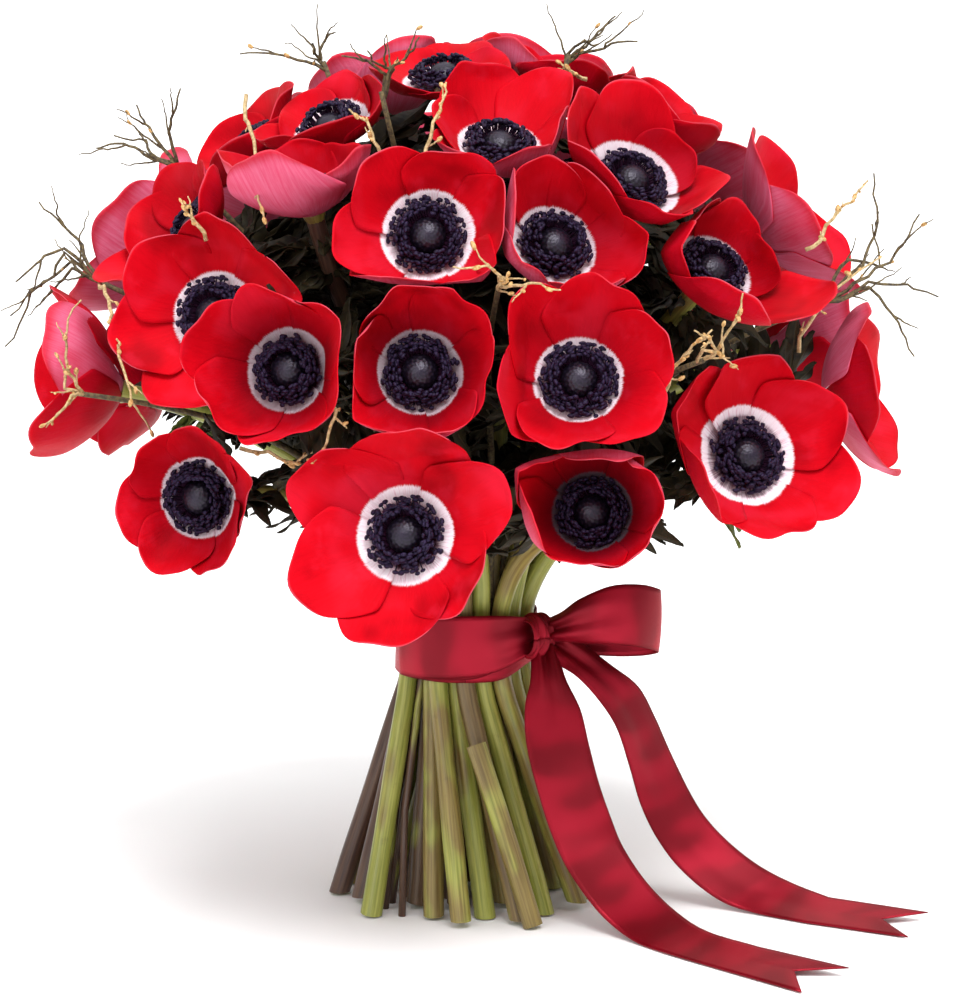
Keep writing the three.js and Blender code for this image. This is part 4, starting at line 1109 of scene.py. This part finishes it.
def add_leaf(shape, base, along, turn, scale, chance):
    """A frilled leaf of five toothed lobes."""
    across = unit(np.cross([0, 0, 1], along))
    up = np.cross(along, across)
    cos, sin = math.cos(rad(turn)), math.sin(rad(turn))
    across, up = across * cos + up * sin, up * cos - across * sin
    which = chance.uniform()
    for root, bend, length, half in LOBES:
        u = np.linspace(0, 1, LOBE_ROWS)[:, None]
        v = np.linspace(-1, 1, LOBE_COLUMNS)[None, :]
        teeth = 1 + 0.42 * np.abs(np.sin(u * math.pi * 3.5 + 0.4 * np.sign(v)))
        width = half * np.sin(np.pi * np.clip(u, 0.02, 1) ** 0.8) ** 0.8 * teeth * 0.8 + 0.5 * (1 - u)
        curve = rad(bend * (1 - 0.35 * u))
        x = root + length * u * np.cos(curve) - v * width * np.sin(curve)
        y = length * u * np.sin(curve) + v * width * np.cos(curve)
        frill = 1.4 * np.sin(9 * u + 3 * v + which * 6) * np.abs(v)
        z = 0.35 * np.abs(v) * width + frill - 5 * u * u * chance.uniform(0.2, 1.2)
        points = base + scale * (x[..., None] * along + y[..., None] * across + z[..., None] * up)
        add_sheet(shape, points, LEAF_THICKNESS, marks(u, v, which))
    stalk = np.array([base - along * 1.5, base + along * scale * 3, base + along * scale * 9])
    add_tube(shape, stalk, [1.0, 0.8, 0.5], 6, [0.3, 0.0, which])


# Rings of leaves round each stem: how far below its bloom, and how many leaves
COLLARS = [(13, 4), (24, 4), (38, 4), (54, 3), (70, 3), (88, 3), (108, 3)]
LOWEST_LEAF = 158.0
# Under blooms lower than this latitude, leaves that point down so steeply would hang out and are left out
LOW_LATITUDE = 12
STEEP_DOWN = -0.25


def collars(distance, count):
    """One ring of frilled leaves round each stem, so far below its bloom."""
    shape = Shape()
    for number, bloom in enumerate(blooms):
        chance = np.random.default_rng(600 + number + 50 * distance)
        curve = upper_curve(bloom, stem_top(bloom), bloom.axis, np.linspace(0, 1, 80))
        below = np.linalg.norm(curve - curve[-1], axis=1)
        base = curve[np.argmin(np.abs(below - distance))]
        if base[2] < LOWEST_LEAF:
            continue
        first = chance.uniform(0, TAU)
        for k in range(count):
            angle = first + TAU * k / count + chance.uniform(-0.4, 0.4)
            level = bloom.side * math.cos(angle) + bloom.over * math.sin(angle)
            along = unit(level + bloom.axis * chance.uniform(-0.1, 0.35))
            if bloom.latitude < LOW_LATITUDE and along[2] < STEEP_DOWN:
                continue
            add_leaf(shape, base, along, chance.uniform(-30, 30), chance.uniform(0.85, 1.2), chance)
    # These leaves wear the nearly black leaf skin, painted shade
    piece = shape.build(f"collars_{distance}", [SHADED_LEAF_SKIN])


def leaves():
    """The leaves that show from outside, each at its own place."""
    shape = Shape()
    by_name = {bloom.name: bloom for bloom in blooms}
    for number, (name, share, azimuth, latitude, turn) in enumerate(LEAVES):
        bloom = by_name[name]
        base = upper_curve(bloom, stem_top(bloom), bloom.axis, [share])[0]
        add_leaf(shape, base, direction(azimuth, latitude), turn, 1.0, np.random.default_rng(400 + number))
    piece = shape.build("leaves", [LEAF_SKIN])


stems()
leaves()
for distance, count in COLLARS:
    collars(distance, count)

# ---- twigs

# How far out from the head's middle a stalk straightens and ends, and how far below its end shoots start
STALK_STRAIGHTENS = HEAD_RADIUS - 14
STALK_TOP = 164.0
SHOOTS_BELOW_TOP = 4
STALK_FOOT = TIE_Z + 1.8
STALK_RADII = [1.5, 1.5, 1.5, 1.4, 1.2, 1.0]
TWIGLETS = 2
EXTRA_SHOOTS = 1
SIDE_SHOOT_STEPS = 3
# The radius of shoots and the length of their side shoots
PALE_SHOOT = (0.8, 12)
DARK_SHOOT = (0.85, 24)
PALE_BUDS = 3
# The shoots of these are pale and full of buds, the others' dark and almost bare
PALE_TWIGS = ["twigs_low_left", "twigs_centre", "twigs_front_right"]

# Short pale sprigs that lie over the blooms, as points in the part's frame
SPRIGS = [
    [(-141, -40, 254), (-135, -66, 251), (-132, -84, 242), (-129, -93, 233), (-124, -100, 217),
     (-117, -96, 205)],
    [(-83, -52, 327), (-80, -78, 316), (-78, -92, 304), (-76, -101, 292), (-73, -106, 284)],
    [(-15, -104, 307), (-12, -100, 318), (-9, -92, 326), (-7, -86, 334)],
    [(-52, -128, 222), (-46, -150, 221), (-49, -156, 211), (-56, -146, 199)],
    [(-96, -92, 276), (-101, -94, 285), (-105, -90, 290)],
    [(-28, -92, 303), (-32, -96, 311), (-36, -92, 320), (-43, -84, 324)],
    [(73, -128, 225), (76, -134, 235), (82, -138, 243), (89, -140, 249)],
    [(125, -84, 233), (130, -84, 246), (140, -72, 256), (157, -60, 266)],
    [(129, -60, 269), (137, -56, 278), (147, -50, 286), (154, -44, 294)],
    [(-83, -110, 201), (-72, -118, 201), (-62, -120, 197), (-54, -122, 202)],
    [(46, -52, 333), (40, -52, 336), (36, -50, 339)],
]


def add_bud(shape, at, along, size, which):
    """A long bud that points along the given direction."""
    points, faces = ball(6, 7)
    points = points * np.array([size * 0.55, size * 0.5, size])
    copies(shape, points, faces, frames_along(np.array([along])), np.array([at]), [[1.0, which, 1.0]])


def add_shoot(shape, points, radius, which, chance, twiglets, buds, length):
    """A kinked shoot with thin side shoots, and buds on each."""
    line = np.asarray(points, float)
    for _ in range(2):
        steps = np.linalg.norm(np.diff(line, axis=0), axis=1, keepdims=True)
        middle = (line[:-1] + line[1:]) / 2 + chance.normal(size=(len(line) - 1, 3)) * 0.06 * steps
        line = np.concatenate([np.stack([line[:-1], middle], 1).reshape(-1, 3), line[-1:]])
    share = np.linspace(0, 1, len(line))
    add_tube(shape, line, radius * (1 - 0.6 * share), 5, marks(share, which, 0.0))
    for i in range(twiglets):
        at = int(len(line) * (0.2 + 0.75 * i / twiglets))
        heading = unit(line[min(at + 1, len(line) - 1)] - line[at - 1])
        lean = unit(heading + chance.normal(size=3) * 0.45)
        side = [line[at]]
        reach = chance.uniform(0.4, 1.0) * length
        for _ in range(SIDE_SHOOT_STEPS):
            lean = unit(lean + chance.normal(size=3) * 0.14)
            side.append(side[-1] + lean * reach / SIDE_SHOOT_STEPS)
        add_shoot(shape, side, radius * 0.6, which, chance, 0, min(buds, 1), 0)
    for _ in range(buds):
        i = int(chance.integers(len(line) // 3, len(line)))
        lean = unit(line[i] - line[i - 1] + chance.normal(size=3) * 0.6)
        add_bud(shape, line[i] + lean * 0.8, lean, chance.uniform(0.9, 1.9), which)


def twig_piece(member, shoots, number):
    """A stalk from the tie up between the blooms, its shoots, and shorter ones between them."""
    chance = np.random.default_rng(500 + number)
    shape = Shape()
    pale = member.name in PALE_TWIGS
    top = HEAD_CENTRE + member.out * STALK_TOP
    bend_end = HEAD_CENTRE + member.out * STALK_STRAIGHTENS
    curve = upper_curve(member, bend_end, member.out, [0, 0.35, 0.7])
    foot = np.array([*member.tie, STALK_FOOT])
    stalk = smoothed([foot, *curve, bend_end, top], 2)
    share = np.linspace(0, 1, len(stalk))
    radii = np.interp(share, np.linspace(0, 1, len(STALK_RADII)), STALK_RADII)
    add_tube(shape, stalk, radii, 7, marks(share * 0.3, 0.3, 0.0))
    root = top - member.out * SHOOTS_BELOW_TOP
    for k in range(len(shoots) + EXTRA_SHOOTS):
        points = np.array(shoots[k % len(shoots)], float)
        if k >= len(shoots):
            other = np.array(shoots[(k + 1) % len(shoots)], float)
            points = (points + other) / 2 + chance.normal(size=(len(points), 3)) * 3.5
            points = root + (points - root) * chance.uniform(0.6, 0.95)
        which = chance.uniform(0.6, 1.0) if pale else chance.uniform(0.0, 0.5)
        radius, length = PALE_SHOOT if pale else DARK_SHOOT
        buds = PALE_BUDS if pale else int(k == 1)
        add_shoot(shape, [root, *points], radius, which, chance, TWIGLETS, buds, length)
    piece = shape.build(f"{member.name}_fine", [TWIG_SKIN])
    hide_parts(member.name)


def sprigs():
    """All pale sprigs as one piece."""
    shape = Shape()
    for number, points in enumerate(SPRIGS):
        chance = np.random.default_rng(700 + number)
        add_shoot(shape, points, 0.9, chance.uniform(0.6, 1.0), chance, 3, 4, 9)
    piece = shape.build("sprigs", [TWIG_SKIN])


sprigs()
for number, (member, row) in enumerate(zip(twigs, TWIGS)):
    twig_piece(member, row[3], number)

# ---- the ribbon

RIBBON_THICKNESS = 0.5
BUNDLE_RADIUS = max(math.hypot(*bloom.tie) for bloom in blooms)
WRAP_INNER = BUNDLE_RADIUS + STEM_RADIUS + 0.7
KNOT_AZIMUTH, KNOT_OUT, KNOT_Z = 62, WRAP_INNER + 6, 111
KNOT_LENGTH = 44.0
KNOT_HALF_WIDTH, KNOT_HALF_DEPTH, KNOT_HALF_HEIGHT = 6.5, 5.6, 8.0

# azimuth, distance off the wrap, height, half the width
LEFT_LOOP = [
    (60, 5.5, 111.5, 4.5),
    (42, 4.6, 111, 8.5),
    (20, 3.6, 109.5, 11.5),
    (-5, 3, 108.5, 12.5),
    (-32, 2.8, 107.5, 12.5),
    (-52, 2.8, 107, 12.5),
    (-60, 2.2, 107, 12.5),
    (-54, 1.5, 107, 12.5),
    (-25, 1.4, 107, 12.5),
    (8, 1.5, 107.5, 12),
    (36, 2.2, 109, 8.5),
    (56, 4, 111, 4),
]
# a point on the middle line, and the vector from it to one edge
RIGHT_LOOP = [
    ((31, -16.5, 112), (0, 0, 4.5)),
    ((37.4, -21, 114.5), (0, 0, 6)),
    ((46, -26, 118), (-1, 0, 9)),
    ((57, -28.5, 121), (0, 1, 11.5)),
    ((68, -27, 120.5), (0.5, 1, 12.4)),
    ((75.5, -20, 117.5), (0.8, 0, 12.4)),
    ((76.5, -12, 114.5), (0, 0, 12.4)),
    ((70, -7, 112), (0, 0, 12.2)),
    ((58, -6, 110.5), (0, 0, 11)),
    ((46, -9, 110), (0, 0, 8.5)),
    ((37, -13, 110.5), (0, 0, 5.5)),
    ((31, -15, 111), (0, 0, 4)),
]
FRONT_TAIL = [
    ((31, -19, 107), (5, 0, 0)),
    ((32.7, -28, 95.2), (7, 1, 0)),
    ((34.4, -32, 84.3), (11, 1.5, -1)),
    ((36.2, -36, 71), (12.4, 1.5, -0.5)),
    ((40.1, -40, 55.4), (12.3, 2, 0.5)),
    ((45.4, -43, 39.5), (12, 3, 2)),
    ((51.3, -46, 26.5), (11, 5, 3.2)),
    ((61.8, -53, 12.8), (9.5, 7, 4.2)),
    ((73.6, -65, 4.9), (8.5, 8.3, 3.5)),
    ((86, -80, 2.6), (7.8, 9.5, 1.6)),
    ((105, -100, 2.4), (7.2, 10, 1.5)),
]
FRONT_TAIL_END = [(125, -138, 0.9), (124, -116, 2.4), (144.5, -117, 3.8)]
BACK_TAIL = [
    ((32, -16, 109), (3, 0, 4)),
    ((39.8, -20, 105.1), (5, 2, 4)),
    ((51.1, -22, 97.4), (7.4, 6, 0.6)),
    ((60.9, -22, 88), (8, 7, 1.2)),
    ((67.8, -21, 76), (7.8, 8, 0.5)),
    ((73.4, -20, 61), (8.3, 8, 1.2)),
    ((80, -19, 43.8), (10, 6, 1.2)),
    ((87, -19, 31.1), (10, 5, 3)),
    ((96.7, -19, 19.6), (10, 5, 4.2)),
    ((109.7, -20.5, 9.6), (8.8, 6.5, 5)),
    ((123.1, -26, 5), (8, 8, 3.8)),
    ((140, -36, 2.8), (5.5, 10.8, 2)),
]
BACK_TAIL_END = [(172.5, -67, 0.9), (164, -48, 2.6), (183, -43, 3.8)]
STRIP_COLUMNS = 13
ROWS_PER_STEP = 7
END_ROWS = 11
WRAP_ROWS = 73
KNOT_ROWS, KNOT_COLUMNS = 49, 61
FOLD_HEIGHT = 2.4
# Each strip's number for the satin
WRAP_MARK, STRIP_MARK, KNOT_MARK = 0.2, 0.5, 0.8


def spline(points, per_step):
    """A smooth line through points, by Catmull-Rom."""
    points = np.asarray(points, float)
    ends = np.concatenate([[2 * points[0] - points[1]], points, [2 * points[-1] - points[-2]]])
    t = np.linspace(0, 1, per_step, endpoint=False)[:, None]
    line = []
    for a, b, c, d in zip(ends, ends[1:], ends[2:], ends[3:]):
        squared, cubed = 2 * a - 5 * b + 4 * c - d, 3 * b - 3 * c + d - a
        line.append(0.5 * (2 * b + (c - a) * t + squared * t ** 2 + cubed * t ** 3))
    return np.concatenate([*line, points[-1:]])


def strip_grid(middle, end, puff):
    """Rows of points across a strip of ribbon, and the way along it to each row.

    Where the strip is narrower than the ribbon it is folded. puff arches it, in mm. end is a swallow tail's
    low corner, notch and high corner.
    """
    centre = spline([at for at, _ in middle], ROWS_PER_STEP)
    half = spline([across for _, across in middle], ROWS_PER_STEP)
    v = np.linspace(-1, 1, STRIP_COLUMNS)
    grid = centre[:, None] + half[:, None] * v[None, :, None]
    normal = safe_unit(np.cross(half, np.gradient(centre, axis=0)))
    tuck = np.clip(1 - np.linalg.norm(half, axis=1) / RIBBON_HALF, 0, 1)
    folds = tuck[:, None] * FOLD_HEIGHT * np.cos(v * TAU) + puff * (1 - v ** 2)
    grid = grid + normal[:, None] * folds[..., None]
    if end is not None:
        low, notch, high = (np.array(p, float) for p in end)
        last = notch + np.abs(v[:, None]) * (np.where(v[:, None] < 0, low, high) - notch)
        rows = np.linspace(0, 1, END_ROWS + 1)[1:, None, None]
        grid = np.concatenate([grid, grid[-1] * (1 - rows) + last * rows])
    steps = np.linalg.norm(np.diff(grid[:, STRIP_COLUMNS // 2], axis=0), axis=1)
    return grid, np.concatenate([[0], np.cumsum(steps)])


def ribbon_piece(name, grid, along, mark, held, rests_on):
    """A piece of the ribbon from its rows of points."""
    shape = Shape()
    add_sheet(shape, grid, RIBBON_THICKNESS, marks(along[:, None], np.linspace(-1, 1, grid.shape[1]), mark))
    piece = shape.build(name, [SATIN])
    along[-1] * MM
    return piece


def around_tie(row):
    """A row of LEFT_LOOP as a point and the vector to an edge, as in the other tables."""
    azimuth, off, z, half = row
    at = direction(azimuth, 0) * (WRAP_INNER + off)
    return (at[0], at[1], z), (0, 0, half)


def strip(name, middle, rests_on, held="folded", end=None, puff=0.5):
    ribbon_piece(name, *strip_grid(middle, end, puff), STRIP_MARK, held, rests_on)


def wrap():
    """The band round the stems, gathered a little under the knot."""
    azimuths = np.linspace(0, 360, WRAP_ROWS)
    v = np.linspace(-1, 1, STRIP_COLUMNS)
    rows = []
    for azimuth in azimuths:
        close = math.exp(-(((azimuth - KNOT_AZIMUTH + 180) % 360 - 180) / 22) ** 2)
        half = RIBBON_HALF * (1 - 0.25 * close)
        out = WRAP_INNER + RIBBON_THICKNESS / 2 + 0.25 * np.sin(rad(azimuth) * 9 + v * 2.0) * (1 - close)
        z = TIE_Z + 2.0 * close + half * v
        rows.append(around(out, rad(azimuth - 90), z))
    along = TAU * WRAP_INNER * azimuths / 360
    piece = ribbon_piece("ribbon_wrap", np.array(rows), along, WRAP_MARK, "stretched", "stems")
    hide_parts("ribbon")


def knot():
    """The ribbon pulled round itself: a small gathered band, its folds running over it."""
    v = np.linspace(-1, 1, KNOT_COLUMNS)
    turn = np.linspace(0, TAU, KNOT_ROWS)
    out_way = direction(KNOT_AZIMUTH - 8, 0)
    side = unit(np.cross([0, 0, 1], out_way))
    centre = out_way * KNOT_OUT + np.array([0, 0, KNOT_Z])
    rows = []
    for angle in turn:
        fold = 0.95 * np.cos(v * 7.6 + 1.5 * math.sin(angle) + 0.6) + 0.5 * np.cos(v * 21 - angle)
        across = KNOT_HALF_WIDTH * (1 + 0.12 * math.cos(angle)) * v
        round_out = (KNOT_HALF_DEPTH + fold) * np.cos(v * 0.75) * math.cos(angle)
        round_up = (KNOT_HALF_HEIGHT + fold) * np.cos(v * 0.55) * math.sin(angle)
        rows.append(centre + np.stack([across, round_out, round_up], -1) @ np.array([side, out_way, UP]))
    along = KNOT_LENGTH * (turn / TAU)
    ribbon_piece("ribbon_knot", np.array(rows), along, KNOT_MARK, "folded", "ribbon_wrap")


wrap()
knot()
strip("ribbon_loop_left", [around_tie(row) for row in LEFT_LOOP], "ribbon_wrap")
strip("ribbon_loop_right", RIGHT_LOOP, "ribbon_knot", puff=-0.8)
strip("ribbon_tail_front", FRONT_TAIL, "ribbon_knot", "hung", FRONT_TAIL_END)
strip("ribbon_tail_back", BACK_TAIL, "ribbon_knot", "hung", BACK_TAIL_END)

# ---- camera, floor and light

PHOTO_WIDTH, PHOTO_HEIGHT = 957, 995
FOCAL_PIXELS = 3750.0
CAMERA_DISTANCE = 1500.0
CAMERA_ELEVATION = 10.0
CAMERA_TARGET = np.array([5.0, 0.0, 163.1])
LIT_POINT = (0, 0, 0.2)
FLOOR_SIDE = 60.0
DOME_LOW, DOME_OVERHEAD = 0.32, 1.6


def point_at(thing, target):
    thing.rotation_euler = (Vector(target) - thing.location).to_track_quat("-Z", "Y").to_euler()


def camera():
    data = bpy.data.cameras.new("camera")
    data.sensor_fit = "AUTO"
    data.sensor_width = 36.0
    data.lens = FOCAL_PIXELS / max(PHOTO_WIDTH, PHOTO_HEIGHT) * data.sensor_width
    thing = placed("camera", data)
    thing.location = (CAMERA_TARGET + direction(0, CAMERA_ELEVATION) * CAMERA_DISTANCE) * MM
    point_at(thing, CAMERA_TARGET * MM)
    bpy.context.scene.camera = thing


def lamp(name, kind, place, power, **settings):
    """A lamp that shines at the middle of the bouquet, its place in metres."""
    data = bpy.data.lights.new(name, kind)
    data.energy = power
    for key, value in settings.items():
        setattr(data, key, value)
    thing = placed(name, data)
    thing.location = place
    point_at(thing, LIT_POINT)


def floor():
    data = bpy.data.meshes.new("floor")
    corners = [(-1, -1), (1, -1), (1, 1), (-1, 1)]
    data.from_pydata([(x * FLOOR_SIDE / 2, y * FLOOR_SIDE / 2, 0) for x, y in corners], [], [(0, 1, 2, 3)])
    n = Nodes("floor")
    grain = n.noise(n.object_point(), 3.0, 2.0)
    colour = n.mix(n.step(grain, 0.3, 0.7), (0.9, 0.9, 0.9, 1), (0.92, 0.92, 0.92, 1))
    data.materials.append(n.finish(n.principled(Base_Color=colour, Roughness=0.9)))
    placed("floor", data)


def world():
    """A soft studio dome, brighter overhead than low down."""
    made = bpy.data.worlds.new("world")
    made.use_nodes = True
    tree = made.node_tree
    background = tree.nodes["Background"]
    split = tree.nodes.new("ShaderNodeSeparateXYZ")
    tree.links.new(tree.nodes.new("ShaderNodeTexCoord").outputs["Generated"], split.inputs[0])
    rise = tree.nodes.new("ShaderNodeMapRange")
    for socket, value in zip(rise.inputs[1:5], (0.0, 1.0, DOME_LOW, DOME_OVERHEAD)):
        socket.default_value = value
    tree.links.new(split.outputs[2], rise.inputs[0])
    tree.links.new(rise.outputs[0], background.inputs["Strength"])
    background.inputs["Color"].default_value = (1, 1, 1, 1)
    bpy.context.scene.world = made


camera()
floor()
world()
lamp("sun", "SUN", (0.14, -0.46, 1.0), 3.1, angle=rad(30))
lamp("key", "AREA", (-0.8, -1.6, 0.9), 7, shape="DISK", size=0.8)
bpy.context.scene.view_settings.view_transform = "Standard"
bpy.context.scene.view_settings.look = "None"
